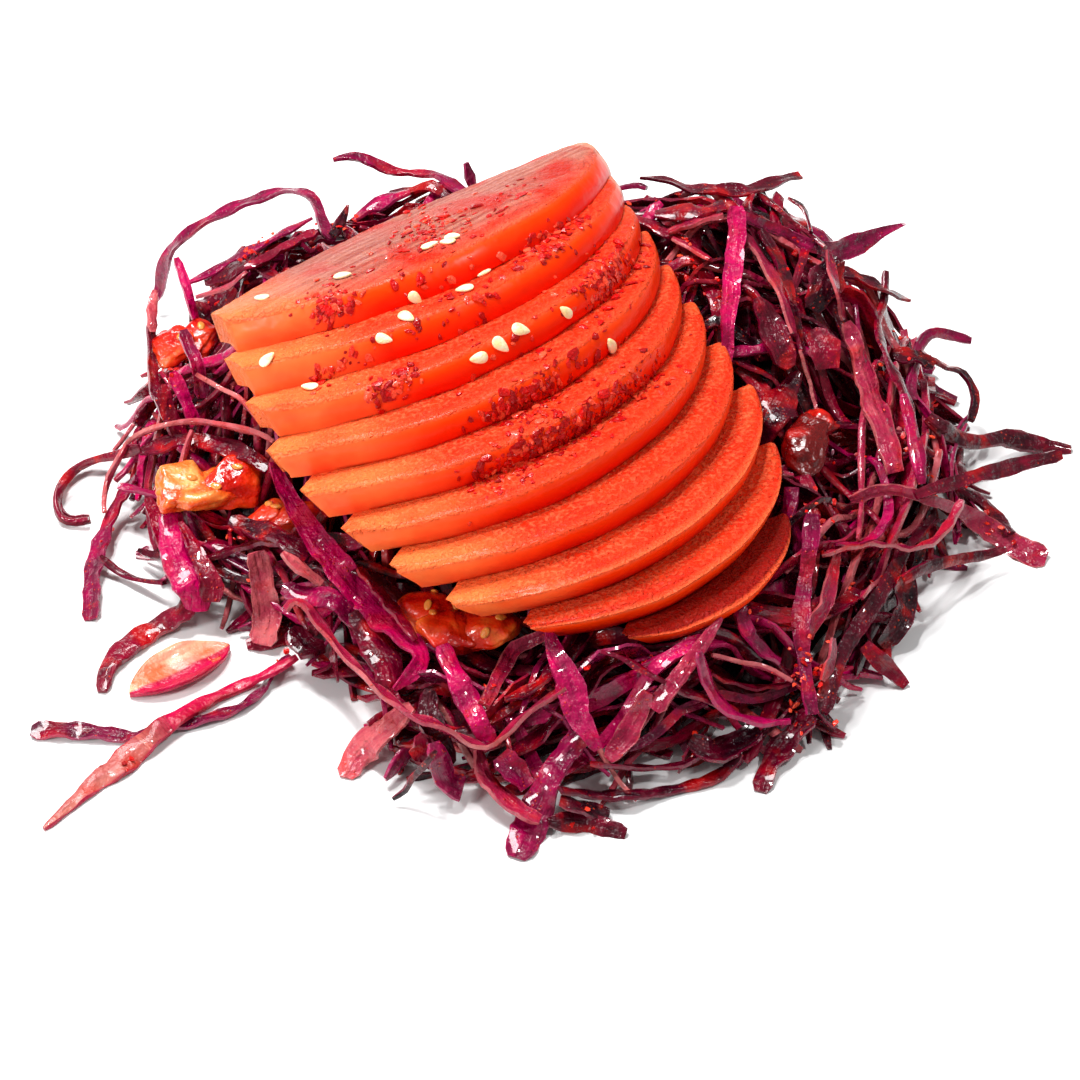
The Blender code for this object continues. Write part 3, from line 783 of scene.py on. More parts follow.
# kind, widths in mm and twists in degrees along the shred, tone, and the pixels that it follows,
# each written as across,down
TRACED = (
    # left and back left
    ("magenta", (1.9, 2.3, 1.7), (10, 35), 0.4, "155,300 160,290 163,270 172,250 190,232 225,212 270,195 "
     "290,191 305,193 314,200 319,212 324,226 332,240"),
    ("burgundy", (2, 3, 3), (10, 30), 0.35, "205,282 230,272 255,262 275,258"),
    ("magenta", (1.2, 1.8, 1.6), (20, 40), 0.55, "190,282 215,270 240,255 265,243 285,232 312,218"),
    ("burgundy", (1.0, 1.6, 2.0), (0, 30), 0.85, "245,268 260,262 280,250 300,240 320,230"),
    ("burgundy", (1.4, 1.8, 1.2), (60, 20), 0.45, "150,322 151,340 152,358 153,380 156,400"),
    ("pink", (1.2, 1.6, 1.2), (10, 40), 0.75, "155,290 152,310 153,332"),
    ("magenta", (1.2, 1.6, 1.2), (10, 40), 0.95, "176,258 185,283 190,302 196,322"),
    ("pink", (1, 1.4, 1.2), (30, 50), 0.65, "196,297 215,291 232,284 246,272"),
    ("magenta", (1.5, 2.2, 1.8), (20, 10), 0.45, "183,330 188,345 195,358 200,378 202,398"),
    ("burgundy", (2, 2.6, 2), (0, 20), 0.65, "160,385 165,405 172,420 182,440"),
    ("magenta", (1.5, 2.0, 1.8), (0, 30), 0.85, "172,372 182,392 190,412 198,428"),
    ("pink", (0.6, 1.0, 0.6), (60, 90), 0.95, "196,374 218,387 238,397 252,412 262,425"),
    ("pink", (0.7, 1.1, 0.9), (70, 90), 0.95, "124,446 130,440 145,432 165,425 185,422 210,423 235,428 "
     "260,434 274,442"),
    ("burgundy", (2.0, 2.8, 2.2), (10, 0), 0.55, "140,452 160,446 190,440 220,446 250,456 268,470"),
    ("magenta", (1.2, 1.8, 1.2), (30, 60), 0.35, "178,447 195,457 212,472 226,488"),
    ("burgundy", (1.4, 1.2, 1.0), (30, 60), 0.75, "140,448 118,455 95,460 75,470 62,485 57,500 60,514 "
     "72,520 92,518"),
    ("pink", (0.8, 0.9, 0.6), (60, 90), 0.55, "127,444 115,465 108,480 104,500 105,516"),
    ("burgundy", (1, 1.3, 1), (20, 60), 0.45, "100,556 108,563 120,572 140,580 168,583"),
    ("magenta", (1.2, 1.5, 1.4), (20, 50), 0.65, "118,486 135,490 165,497 190,500"),
    ("pink", (0.7, 0.9, 0.7), (50, 80), 0.65, "192,430 186,450 180,470 172,490 166,510 163,532"),
    ("burgundy", (1.6, 2.2, 1.4), (0, 30), 1, "148,498 158,525 163,552"),
    ("burgundy", (1.2, 1.7, 1.4), (30, 50), 0.45, "205,560 230,551 262,543 302,545 322,552"),
    ("burgundy", (2, 3.4, 3), (10, 30), 0.25, "230,520 255,528 282,538 310,560"),
    ("pink", (3.6, 3.9, 3.6), (10, -10), 0.75, "256,552 261,575 265,600 267,622 262,645"),
    ("pink", (1.2, 2.2, 1.4), (40, 20), 1, "282,553 300,568 322,584"),
    ("burgundy", (3, 4, 3), (10, 20), 0.35, "290,630 305,645 322,655"),
    ("magenta", (2.2, 3.4, 2.6), (0, 25), 0.35, "282,588 310,596 336,600 360,625"),
    ("magenta", (0.8, 2.4, 0.9, 2.2, 1.6), (20, 0, 30, 10), 0.35, "333,160 345,157 358,157 372,162 385,168 "
     "397,172 411,173 425,174 438,176 450,183 464,194 478,206"),
    ("magenta", (1.2, 1.6, 1.4), (20, 30), 0.3, "466,163 468,170 471,180 474,190"),
    ("burgundy", (0.6, 1.8, 1.2), (20, 30), 0.2, "348,205 344,215 338,227 330,238"),
    ("magenta", (1.0, 2.2, 1.6), (10, 20), 0.6, "354,220 366,210 380,203 394,197 410,192"),
    # front
    ("burgundy", (2, 4.6, 4), (0, 20), 0.5, "352,612 368,635 385,660 392,688"),
    ("magenta", (1.6, 3.6, 5.0, 1.0), (20, 0, 10, 60), 0.85, "272,462 285,490 297,510 310,530 320,545 "
     "335,562 352,585 375,608 395,628 412,645 420,660 410,675 394,689"),
    ("burgundy", (1.4, 2.2, 1.2), (50, 30), 0.9, "358,568 378,590 398,615 416,640"),
    ("burgundy", (2.5, 3.4, 2.8), (10, 30), 0.1, "430,690 428,715 440,745 452,765"),
    ("magenta", (2.2, 3.0, 3.6), (20, 0), 0.4, "434,742 440,762 448,782 466,790"),
    ("burgundy", (0.6, 0.9, 0.8), (30, 50), 0.1, "436,750 424,766 412,778 406,790 393,799"),
    ("burgundy", (2, 3.6, 3), (0, 20), 0.7, "418,735 424,748 420,762"),
    ("magenta", (3.4, 3.8, 2.6), (0, 30), 0.35, "500,755 515,772 530,790"),
    ("pink", (1.8, 2.4, 2.2), (40, 20), 0.3, "478,750 484,776 500,794 522,812 540,820"),
    ("magenta", (2.4, 3.4, 2.0), (20, -10), 0.75, "442,645 452,668 468,700 480,725 492,748"),
    ("burgundy", (1.6, 2.4, 2.0), (30, 50), 0.3, "505,700 530,690 552,672 560,640"),
    ("pink", (1.6, 1.9, 2.3, 1.8, 1.4), (40, 55, 60, 50), 0.35, "286,610 294,602 306,607 320,625 336,646 "
     "356,668 382,693 410,715 440,727 468,742 488,748 502,738 525,716 550,698 566,688"),
    ("magenta", (1.4, 1.9, 1.4), (30, 60), 0.5, "512,583 526,592 533,606 532,624"),
    ("pink", (0.9, 1.1, 1.2), (60, 80), 0.2, "545,588 548,608 545,626 544,645"),
    ("pink", (1.4, 2.2, 1.8), (30, 10), 0.2, "562,628 540,637 516,648 503,668 492,690 482,708"),
    ("magenta", (1.4, 4.2, 1.0), (10, -15), 0.7, "548,630 556,655 570,685 578,715 600,752"),
    ("burgundy", (1.2, 1.5, 1.6), (60, 30), 0.5, "600,651 626,660 655,677 680,689 702,697 722,706 738,713"),
    ("pink", (2.2, 2.6, 2.4), (20, 0), 0.3, "648,692 636,718 622,742 608,760"),
    ("burgundy", (1.6, 1.8, 1.4), (40, 20), 0.2, "560,790 600,795 650,793 692,785 722,773 742,750"),
    ("burgundy", (1.2, 1.3, 1.2), (60, 40), 0.4, "590,764 632,768 682,765 712,748"),
    ("burgundy", (3, 4, 3), (10, 20), 0.15, "690,740 715,752 738,742 760,730"),
    ("burgundy", (2, 2.8, 2.2), (30, 10), 0.1, "560,800 585,808 612,816"),
    ("pink", (0.8, 2.2, 2.5), (20, 0), 0.35, "722,618 708,636 694,656 676,680 662,698 654,710"),
    ("magenta", (1.6, 2.0, 1.6), (30, 50), 0.6, "699,652 706,678 718,700 736,715 762,722 790,721"),
    ("magenta", (1.6, 2.6, 2.2), (10, 40), 0.3, "736,598 746,628 760,648 780,662"),
    ("pink", (0.6, 0.8, 0.6), (70, 90), 0.6, "712,655 740,662 766,668 792,681"),
    # right
    ("burgundy", (1.8, 2.4, 2.2), (30, 10), 0.35, "905,545 890,578 870,610 850,640 835,670 822,712"),
    ("pink", (1.6, 2.0, 1.6), (20, 50), 0.2, "837,552 831,580 825,605 812,625 807,642"),
    ("pink", (1.2, 1.6, 1), (40, 70), 0.2, "833,638 831,660 820,684"),
    ("magenta", (2.2, 2.3, 1.8), (15, -10, 30), 0.35, "812,514 810,545 805,580 801,620 803,652 808,690 "
     "813,718"),
    ("burgundy", (3.4, 3.6, 2.4), (20, 40), 0.2, "902,575 906,602 898,626 880,645"),
    ("pink", (1.2, 1.6, 2.0, 1.4), (60, 50, 40), 0.25, "822,556 850,548 882,545 912,549 936,540 952,520 "
     "962,500"),
    ("burgundy", (1.2, 1.7, 1.4), (30, 50), 0.4, "1006,549 985,555 955,560 925,568 900,582"),
    ("burgundy", (1.4, 2.4, 2.0), (20, 30), 0.3, "958,487 980,500 998,518 1014,536"),
    ("burgundy", (1.6, 2.2, 1.6), (30, 10), 0.5, "1062,455 1030,462 1000,470 970,478 940,487 912,497"),
    ("magenta", (1.5, 1.6, 1.8, 1.4), (20, 50, 20), 0.45, "971,341 950,335 932,333 920,345 915,366 911,388 "
     "915,404"),
    ("burgundy", (1.4, 1.6, 1.0), (50, 20), 0.15, "920,352 945,367 961,372 971,385 975,400 970,424"),
    ("burgundy", (2.4, 3, 2), (20, 10), 0.1, "893,356 915,356 934,366"),
    ("burgundy", (1.0, 1.4, 1.9, 1.9), (30, 60, 30), 0.5, "886,271 884,300 878,322 882,344 891,366 903,390 "
     "910,418"),
    ("burgundy", (2.4, 2.6, 1.2), (20, 50), 0.25, "838,270 865,280 890,293 913,302"),
    ("burgundy", (3.4, 5.4, 3), (10, 30), 0.15, "838,258 826,282 812,310"),
    ("magenta", (0.5, 3.0, 1.5, 1.8), (20, 40, 30), 0.4, "905,224 880,233 860,243 838,250 812,246 785,233 "
     "760,223 740,214"),
    ("burgundy", (1, 1.3, 1.2), (40, 70), 0.5, "758,193 775,206 792,221 812,236 828,250"),
    ("burgundy", (1.0, 1.1, 0.8), (40, 70), 0.2, "788,198 802,206 808,220 812,236"),
    ("burgundy", (2.2, 3.4, 2.4), (10, 30), 0.5, "655,214 680,212 705,210 728,204"),
    ("pink", (1.2, 1.8, 1.2), (20, 60), 0.2, "668,232 690,224 712,218 726,214"),
    ("pink", (1.0, 1.6, 1.2), (30, 60), 0.4, "672,238 695,250 714,262"),
    ("burgundy", (1.0, 2.2, 2.6, 1.6), (40, 10, 30), 0.45, "640,178 665,180 690,189 722,190 752,190 "
     "780,180 804,175"),
    ("magenta", (1.0, 1.5, 1.2), (20, 40), 0.2, "584,190 610,190 636,185 650,190"),
    ("burgundy", (1.6, 2.2, 1.6), (20, 50), 0.2, "760,230 780,265 790,300 797,330 802,352"),
    ("pink", (1.6, 2.0, 1.5), (30, 50), 0.15, "744,234 760,255 775,280 787,310 795,338"),
    ("burgundy", (1.6, 4.8, 3.0), (0, 20), 0.55, "756,298 768,320 778,345 790,368"),
    ("burgundy", (2.0, 5.0, 3.0), (0, -20), 0.8, "812,330 824,348 828,372"),
    ("burgundy", (1.6, 5.6, 2.0), (0, -20), 0.25, "800,372 782,398 768,428 756,448"),
    ("pink", (1.4, 1.8, 1.4), (40, 60), 0.2, "828,250 832,272 838,296 843,320"),
    ("pink", (2.4, 3.4, 2.8), (10, 30, 0), 0.5, "846,322 856,346 864,372 872,398 882,424 890,450 896,476"),
    ("pink", (0.8, 1.1, 0.8), (60, 80), 0.4, "800,350 808,376 815,402 817,428 812,455"),
    ("magenta", (1.6, 2.0, 1.8), (30, 0), 0.6, "904,394 911,424 918,456 922,484"),
    ("magenta", (2.8, 2.7, 2.0, 1.6), (5, -5, 30, 10), 0.95, "736,206 737,232 734,262 731,292 727,322 "
     "727,350 722,376 717,402"),
)

# the shreds beside the heap, in the order of their CAD nodes
OUTLYING = (
    ("magenta", (2.8, 2.1, 2.0, 1.8), (20, 30, 45), 0.15, "31,731 60,730 100,733 135,737 165,728 205,719 "
     "240,707 262,690 272,674 290,655"),
    ("rib", (0.8, 3.6, 1.8, 1.6), (10, 5, 40), 0.8, "44,829 65,810 95,783 120,765 145,742 170,722 205,702 "
     "240,686 270,672 300,655"),
    ("burgundy", (2.2, 3.1, 4.2), (10, 20), 0.7, "102,692 108,668 125,648 148,632 172,618 190,605"),
    ("magenta", (2.6, 2.8, 2.0), (25, 35), 0.4, "91,620 92,598 93,575 99,550 108,525 120,500 136,478"),
    ("burgundy", (1.6, 1.5, 1.2), (30, 60), 0.6, "90,518 72,521 60,514 57,500 62,485 75,470 95,461 "
     "122,455"),
    ("pink", (3.0, 4.4, 2.6), (0, 20), 0.8, "346,778 356,757 375,738 396,720 412,706"),
    ("magenta", (4.0, 4.2, 3.6, 2.8), (0, 10, 5), 0.4, "516,858 530,826 542,796 556,766 575,742 590,722"),
    ("burgundy", (2.0, 2.8, 2.2), (20, 10), 0.35, "626,834 600,826 575,822 548,822"),
    ("burgundy", (2.4, 3.4, 3.4), (10, 20), 0.45, "760,792 768,770 780,750 796,732 810,714"),
    ("burgundy", (2.0, 2.6, 1.8), (10, 40), 0.75, "906,686 890,670 875,656 862,642"),
    ("pink", (4.0, 3.2, 1.7, 1.5, 1.6), (5, 20, 50, 40), 0.3, "1046,560 1020,549 990,530 960,511 930,500 "
     "905,491 880,490 850,500"),
    ("burgundy", (2.0, 2.8, 2.4, 2.0), (20, 10, 30), 0.3, "1071,450 1050,447 1020,440 1000,438 975,442 "
     "950,434 925,415"),
)

RIB_SHARE = 0.42                      # the pale part of the shred that is cut across a rib

# broad pieces of leaf that hang over the edge of the heap
LEAF_THICKNESS = 0.8 * MM
LEAVES = (
    ("magenta", (2.6, 4.6, 5.6, 3.0), (0, 15, 0), 0.9, "170,508 173,535 180,560 194,585 198,615"),
    ("burgundy", (1.0, 2.6, 3.2), (20, 0), 0.8, "180,522 196,552 210,582 212,602"),
)


def traced_shred(dice, widths, twists, tone, thickness=None):
    widths = tuple(width * TRACED_BREADTH * MM for width in widths)
    thickness = thickness or dice.uniform(*TRACED_THICKNESS) * MM
    curl = dice.choice((-1, 1)) * dice.uniform(*TRACED_CURLS)
    return Shred(dice, widths, thickness, twists, tone, curl, TRACED_BLUNTNESS)


def lay_traced_shreds(tangles):
    dice = random.Random(5)
    for rows, thickness in ((TRACED, None), (LEAVES, LEAF_THICKNESS)):
        for kind, widths, twists, tone, pixels in rows:
            lay_traced(tangles[kind], traced_shred(dice, widths, twists, tone, thickness), pixels)


def make_outlying(paints):
    """Each shred beside the heap is a piece of its own, in the place of its CAD node."""
    dice = random.Random(8)
    for number, (kind, widths, twists, tone, pixels) in enumerate(OUTLYING, start=1):
        maker = MeshMaker("tone", "cut", "along", "across")
        shred = traced_shred(dice, widths, twists, tone)
        if kind == "rib":
            shred.fade = RIB_SHARE
        lay_traced(maker, shred, pixels)
        slot = "red_cabbage" if kind in ("burgundy", "magenta") else "pale_cabbage"
        maker.build(f"loose_shred_{number:02d}", paints[kind], slot, f"cabbage_shred_{number:02d}", crisp=60)


def make_core():
    """The inside of the heap, sunk below the shreds and painted dark as the shade deep between them."""
    angles = np.linspace(-math.pi, math.pi, CORE_SEGMENTS + 1)[:-1]
    reach = pile.core_reach[:-1]
    rings = []
    for share in np.linspace(1, 1 / CORE_RINGS, CORE_RINGS):
        x = HEAP_MIDDLE[0] + np.cos(angles) * share * reach
        y = HEAP_MIDDLE[1] + np.sin(angles) * share * reach
        wave = np.array([noise.noise(Vector((a, b, 0)) * 350) for a, b in zip(x, y)])
        rings.append(np.column_stack((x, y, np.maximum(pile.at(pile.core, x, y) + wave * MM, 0.1 * MM))))
    base = rings[0] * (1, 1, 0)
    maker = MeshMaker()
    maker.add(np.vstack([base] + rings), tube(len(rings) + 1, CORE_SEGMENTS))
    maker.build("cabbage_core", core_shade_paint(), "red_cabbage", "cabbage_heap")


# ---------------------------------------------------------------- tomato slices

SLICES = sorted(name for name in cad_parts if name.startswith("tomato_slice"))
SLICE_COLUMNS = 110
FACE_ROWS = 26
SKIN_ROWS = 9
UNDER_ROWS = 10
TIP_ANGLE = math.radians(87.3)          # columns crowd towards both tips
SKIN_BULGE = 0.55 * MM
SKIN_BEVEL = 0.25 * MM                  # between the cut face and the skin
LARGEST_GAP = 3.5 * MM
END_UNDERCUT = 1.0 * MM                 # the left ends hang over
END_RAGGED = 0.45 * MM
FACE_DROOP = 0.9 * MM                   # a cut face sinks towards its skin
END_FIRMNESS = 0.7 * MM                 # but less at its left end
GAP_SHARE = 0.5                         # and more over a gap
PROBE_LIFT = 2 * MM                     # a gap is measured from this far above the underside
GAP_ROUNDS = 30
TIP_CLOSING = 0.75                      # how much of the gap closes at the right tip
DENTS = (110, 0.35)                     # how fine, to the metre, and how deep, in mm
FACE_GRAIN = (900, 0.11)


def circle_through(points):
    """Centre and radius of the circle that best fits points in a plane."""
    system = np.column_stack((2 * points, np.ones(len(points))))
    a, b, c = np.linalg.lstsq(system, (points ** 2).sum(axis=1), rcond=None)[0]
    return a, b, math.sqrt(c + a * a + b * b)


class Outline:
    """One face of a slice: an outer and an inner arc that meet in two blunt tips."""

    def __init__(self, flat):
        self.end = (flat[:, 0].max() - flat[:, 0].min()) / 2
        self.middle = (flat[:, 0].max() + flat[:, 0].min()) / 2
        tips = np.abs(flat[:, 0] - self.middle) > self.end * 0.999
        chord = flat[tips, 1].mean()
        self.outer = circle_through(flat[flat[:, 1] > chord])
        self.inner = circle_through(flat[flat[:, 1] < chord])

    def edges(self, share):
        """Place along the slice, inner edge and outer edge, for shares from -1 to 1."""
        x = self.middle + share * self.end
        a, b, radius = self.outer
        outer = b + np.sqrt(np.maximum(radius ** 2 - (x - a) ** 2, 0))
        a, b, radius = self.inner
        inner = b - np.sqrt(np.maximum(radius ** 2 - (x - a) ** 2, 0))
        return x, inner, outer


class SliceShape:
    """The plane and the two outlines of a CAD slice, read from its mesh."""

    def __init__(self, node):
        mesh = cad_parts[node].data
        mesh.calc_loop_triangles()
        normals = np.array([tri.normal for tri in mesh.loop_triangles])
        areas = np.array([tri.area for tri in mesh.loop_triangles])
        facing = normals[:, 2] > 0.8
        self.normal = unit((normals[facing] * areas[facing, None]).sum(axis=0))
        points = np.unique(node_points(node).round(7), axis=0)
        heights = points @ self.normal
        top = points[heights > heights.max() - 0.02 * MM]
        bottom = points[heights < heights.min() + 0.02 * MM]
        self.thickness = heights.max() - heights.min()
        self.middle = top.mean(axis=0)
        spread = np.linalg.svd(top - self.middle, full_matrices=False)[2]
        self.along = spread[0] * np.sign(spread[0][0])
        self.outward = np.cross(self.along, self.normal)
        self.face = Outline(self.flat(top))
        self.underside = Outline(self.flat(bottom))

    def flat(self, points):
        away = points - self.middle
        return np.column_stack((away @ self.along, away @ self.outward))

    def place(self, x, y, z):
        return (self.middle + np.multiply.outer(x, self.along) + np.multiply.outer(y, self.outward)
                + np.multiply.outer(z, self.normal))


def slice_rows(shape, share, beneath, rim):
    """Rows of corners along a slice, once around it: the cut face, the skin and the underside.

    Each row gives its places, then how much it is skin, edge of the face, pale rim (a painted highlight) and
    lower skin."""
    x_top, in_top, out_top = shape.face.edges(share)
    x_low, in_low, out_low = shape.underside.edges(share)
    gap = gap_below(shape, x_low, out_low, beneath)
    x_low = x_low + END_UNDERCUT * rounded((-share - 0.5) / 0.5)
    droop = GAP_SHARE * gap + FACE_DROOP - END_FIRMNESS * rounded((-share - 0.55) / 0.45)
    start = droop + SKIN_BEVEL
    for r in np.linspace(0, 1, FACE_ROWS) ** 0.75:
        sag = droop * r ** 4 + SKIN_BEVEL * rounded((r - 0.9) / 0.1)
        edge = rounded((r - 0.76) / 0.24)
        yield x_top, in_top + (out_top - in_top) * r, -sag, 0, edge, rim * rounded((r - 0.955) / 0.03), 0
    for q in np.arange(1, SKIN_ROWS) / SKIN_ROWS:
        x = x_top + (x_low - x_top) * q
        y = out_top + (out_low - out_top) * q + SKIN_BULGE * math.sin(math.pi * q) ** 0.8
        z = -start - (shape.thickness + gap - start) * q
        yield x, y, z, 1, 0, 0.4 * rim * (q < 0.15), rounded(q * 1.15)
    for r in np.linspace(1, 0, UNDER_ROWS):
        z = -shape.thickness - gap * rounded((r - 0.6) / 0.4)
        yield x_low, in_low + (out_low - in_low) * r, z, r == 1, 0, 0, 1


def make_slice(number, node, beneath, paint):
    """A finely modelled slice whose skin side hangs down to the one beneath. Returns its search tree."""
    shape = SliceShape(node)
    share = np.sin(np.linspace(-1, 1, SLICE_COLUMNS) * TIP_ANGLE) / math.sin(TIP_ANGLE)
    # the last number is how strong the painted highlight along each face's rim is, more on the lowest slices
    rows = slice_rows(shape, share, beneath, 0.7 if number >= 8 else 0.3)
    rows = np.array([[np.broadcast_to(value, share.shape) for value in row] for row in rows])
    x, y, z, skin, edge, rim, lower = rows.transpose(1, 2, 0)
    ragged = np.array([noise.noise(Vector((row * 0.17, number * 5.0, 0))) for row in range(len(rows))])
    x = x + rounded((-share - 0.7) / 0.3)[:, None] * ragged * END_RAGGED
    points = roughen(shape.place(x.ravel(), y.ravel(), z.ravel()), shape, skin.ravel(), number)
    share = share[:, None]
    ends = 0.85 * rounded((-share - 0.48) / 0.46) + 0.25 * rounded((share - 0.9) / 0.1)
    values = {
        "skin": skin, "edge": edge, "rim": rim, "lower": lower, "along": x, "across": y, "tone": number / 10,
        "ends": ends * (number < 9),
        "pale": 0.9 * (number == 1) * (1 - skin) * (1 - edge * 0.5),
        "cut_end": 0.7 * (number < 3) * rounded((share - 0.95) / 0.03),
        # painted shade on the faces of slices 9 and 10, on slice 9 towards its left end
        "dark": (1 - skin) * (0.9 * (number == 10) * (1 - rim) + 0.35 * (number == 9) * rounded(0.4 - share)),
    }
    values = {name: np.broadcast_to(value, x.shape).ravel() for name, value in values.items()}
    maker = MeshMaker(*values)
    maker.add(points, tube(SLICE_COLUMNS, len(rows)), **values)
    maker.build(f"sliced_tomato_{number:02d}", paint, "tomato_slice", node, crisp=72)
    return maker.tree()


def gap_below(shape, x, y, beneath):
    """How far the skin's lower edge stands above the slice beneath it, along the slice."""
    gaps = np.full(len(x), -1.0)
    if beneath is not None:
        for i, point in enumerate(shape.place(x, y, np.full(len(x), PROBE_LIFT - shape.thickness))):
            distance = beneath.ray_cast(Vector(point), -Vector(shape.normal))[3]
            if distance is not None:
                gaps[i] = min(LARGEST_GAP, max(0, distance - PROBE_LIFT))
    known = gaps >= 0
    if not known.any():
        return np.zeros(len(x))
    places = np.arange(len(gaps))
    gaps = np.interp(places, places[known], gaps[known])
    gaps *= 1 - TIP_CLOSING * np.linspace(0, 1, len(gaps)) ** 9
    for _ in range(GAP_ROUNDS):
        gaps = soften(gaps)
    return gaps


def roughen(points, shape, skin, number):
    """Fine unevenness: grain on the cut faces, broad dents on the skin."""
    shifts = np.zeros(len(points))
    for i, point in enumerate(points):
        place = Vector(point)
        seed = Vector((0, 0, number * 3.0))
        broad, fine = [noise.noise(place * scale + seed) * depth * MM for scale, depth in (DENTS, FACE_GRAIN)]
        shifts[i] = broad + fine * (1 - skin[i])
    return points + shifts[:, None] * shape.normal


def make_slices():
    """The fan, from the lowest slice up. Returns the slices' search trees."""
    paint = tomato_paint()
    trees = []
    for number in range(len(SLICES), 0, -1):
        trees.append(make_slice(number, SLICES[number - 1], trees[-1] if trees else None, paint))
    return trees


# ---------------------------------------------------------------- chopped tomato

CHUNK_TONES = {"left": 0.65, "front": 0.42, "right": 0.08, "back_left": 0.46, "near_left": 0.30}
CHUNK_LUMPS = 3
LUMP_SPREAD = 0.42                      # of the chunk's half length
LUMP_SIZE = (0.62, 0.82, 0.60)          # of the chunk's half sizes
LUMP_SWELL = 1.28                       # makes up for what the cuts take off
LUMP_SHIFTS = (0.24, 0.16)              # to the side and up or down
LUMP_RANGE = (0.85, 1.05)
LUMP_WAVES = 0.12
LUMP_TURN = 24
CHUNK_CUTS = 11
CUT_HARDNESS = 12
TOMATO_SEED_HALF = (0.95 * MM, 0.62 * MM, 0.3 * MM)
CHUNK_SEEDS = {"left": 3, "front": 7, "right": 0, "back_left": 2, "near_left": 2}


def turned(axes, dice, most):
    """The axes after random turns of up to this many degrees."""
    turn = Matrix.Identity(3)
    for axis in "XYZ":
        turn = Matrix.Rotation(math.radians(dice.uniform(-most, most)), 3, axis) @ turn
    return np.array(turn) @ axes


def chopped_form(corners, dice):
    """A ball cut flat from several sides, with soft edges: the share left of each corner's reach."""
    cuts = unit(np.array([[dice.gauss(0, 1) for _ in range(3)] for _ in range(CHUNK_CUTS)]))
    depths = np.array([dice.uniform(0.6, 0.95) for _ in range(CHUNK_CUTS)])
    crossed = (np.maximum(corners @ cuts.T, 0) / depths) ** CUT_HARDNESS
    return np.minimum(1.12, np.maximum(crossed.sum(axis=1), 0.01) ** (-1 / CUT_HARDNESS))


def make_chunk(label, node, paint, bodies):
    """A few cut lumps of wet flesh pressed together, with a few seeds on them."""
    dice = random.Random(label)
    points = node_points(node)
    middle = (points.max(axis=0) + points.min(axis=0)) / 2
    axes = np.linalg.svd(points - middle, full_matrices=False)[2]
    if np.linalg.det(axes) < 0:
        axes[2] = -axes[2]
    half = np.abs((points - middle) @ axes.T).max(axis=0)
    maker = MeshMaker("tone", "seed")
    corners, faces = bodies[0]
    tone = CHUNK_TONES[label]
    for lump in range(CHUNK_LUMPS):
        place = LUMP_SPREAD * (2 * lump / (CHUNK_LUMPS - 1) - 1)
        offset = np.array((place, *(dice.uniform(-shift, shift) for shift in LUMP_SHIFTS))) * half
        size = half * np.array(LUMP_SIZE) * dice.uniform(*LUMP_RANGE)
        seed = Vector((lump * 5.0, tone * 9, 0))
        waves = np.array([1 + LUMP_WAVES * noise.noise(Vector(corner) * 2.5 + seed) for corner in corners])
        swell = LUMP_SWELL * chopped_form(corners, dice) * waves
        shape = (corners * swell[:, None] * size) @ turned(axes, dice, LUMP_TURN)
        maker.add(middle + offset @ axes + shape, faces, tone=np.clip(tone + dice.uniform(-0.16, 0.14), 0, 1))
    pulp = maker.tree()
    corners, faces = bodies[1]
    for _ in range(CHUNK_SEEDS[label]):
        spot = Vector(middle + np.array((dice.uniform(-0.8, 0.8), dice.uniform(-0.7, 0.7), 0)) * half @ axes)
        place, normal = pulp.ray_cast(spot + UP * 20 * MM, DOWN)[:2]
        if place is not None:
            seed = (corners * TOMATO_SEED_HALF) @ lying_axes(normal, dice.uniform(0, 6))
            maker.add(np.array(place + normal * 0.1 * MM) + seed, faces, seed=1.0)
    maker.build(f"chopped_tomato_{label}", paint, "tomato_pulp", node)


def make_chunks():
    paint = pulp_paint()
    bodies = (small_body(5), small_body(3))
    for label in CHUNK_TONES:
        make_chunk(label, f"tomato_chunk_{label}", paint, bodies)


# ---------------------------------------------------------------- the pale leaf

LEAF_COLUMNS = 40
LEAF_ROWS = 14
LEAF_CUPS = (1.5, 1.0)                  # how far its near and its far edge rise, in mm
LEAF_RIPPLE = 0.5 * MM


def make_leaf(paint):
    """A slightly cupped, lens-shaped piece, pale on top with a magenta edge towards the viewer."""
    points = node_points("cabbage_leaf_pale")
    middle = (points.max(axis=0) + points.min(axis=0))[:2] / 2
    flat = points[:, :2] - middle
    axes = np.linalg.svd(flat, full_matrices=False)[2]
    along = axes[0] * np.sign(axes[0][0])
    across = np.array((-along[1], along[0]))
    steps = (np.linspace(-1, 1, LEAF_COLUMNS + 1), np.linspace(-1, 1, LEAF_ROWS + 1))
    x, y = np.meshgrid(*steps, indexing="ij")
    width = np.maximum(0.03, (1 - x * x) ** 0.75)
    ripple = np.array([[noise.noise(Vector((a * 2, b, 0))) for b in steps[1]] for a in steps[0]])
    cup = np.where(y < 0, *LEAF_CUPS) * MM * np.abs(y) ** 2.2 * width + LEAF_RIPPLE * ripple
    place = middle + np.multiply.outer(x * np.abs(flat @ along).max(), along)
    place = place + np.multiply.outer(y * width * np.abs(flat @ across).max(), across)
    low = np.dstack((place, np.maximum(0.1 * MM, cup + 0.2 * MM)))
    top = low + np.array((0, 0, 1.0 * MM))
    cut = 1 - rounded((y + 0.16) / 0.2)
    corners = np.concatenate((low, top[:, ::-1]), axis=1).reshape(-1, 3)
    maker = MeshMaker("tone", "cut", "along", "across")
    maker.add(corners, tube(LEAF_COLUMNS + 1, 2 * (LEAF_ROWS + 1)), along=corners[:, :2] @ along,
              across=corners[:, :2] @ across, cut=np.concatenate((cut, cut[:, ::-1]), axis=1).ravel())
    maker.build("pale_leaf", paint, "pale_cabbage", "cabbage_leaf_pale")
    tops = top.reshape(-1, 3)
    pile.stamp(tops[:, :2], np.full(len(tops), 0.3 * MM), tops[:, 2])


# ---------------------------------------------------------------- seeds and flakes

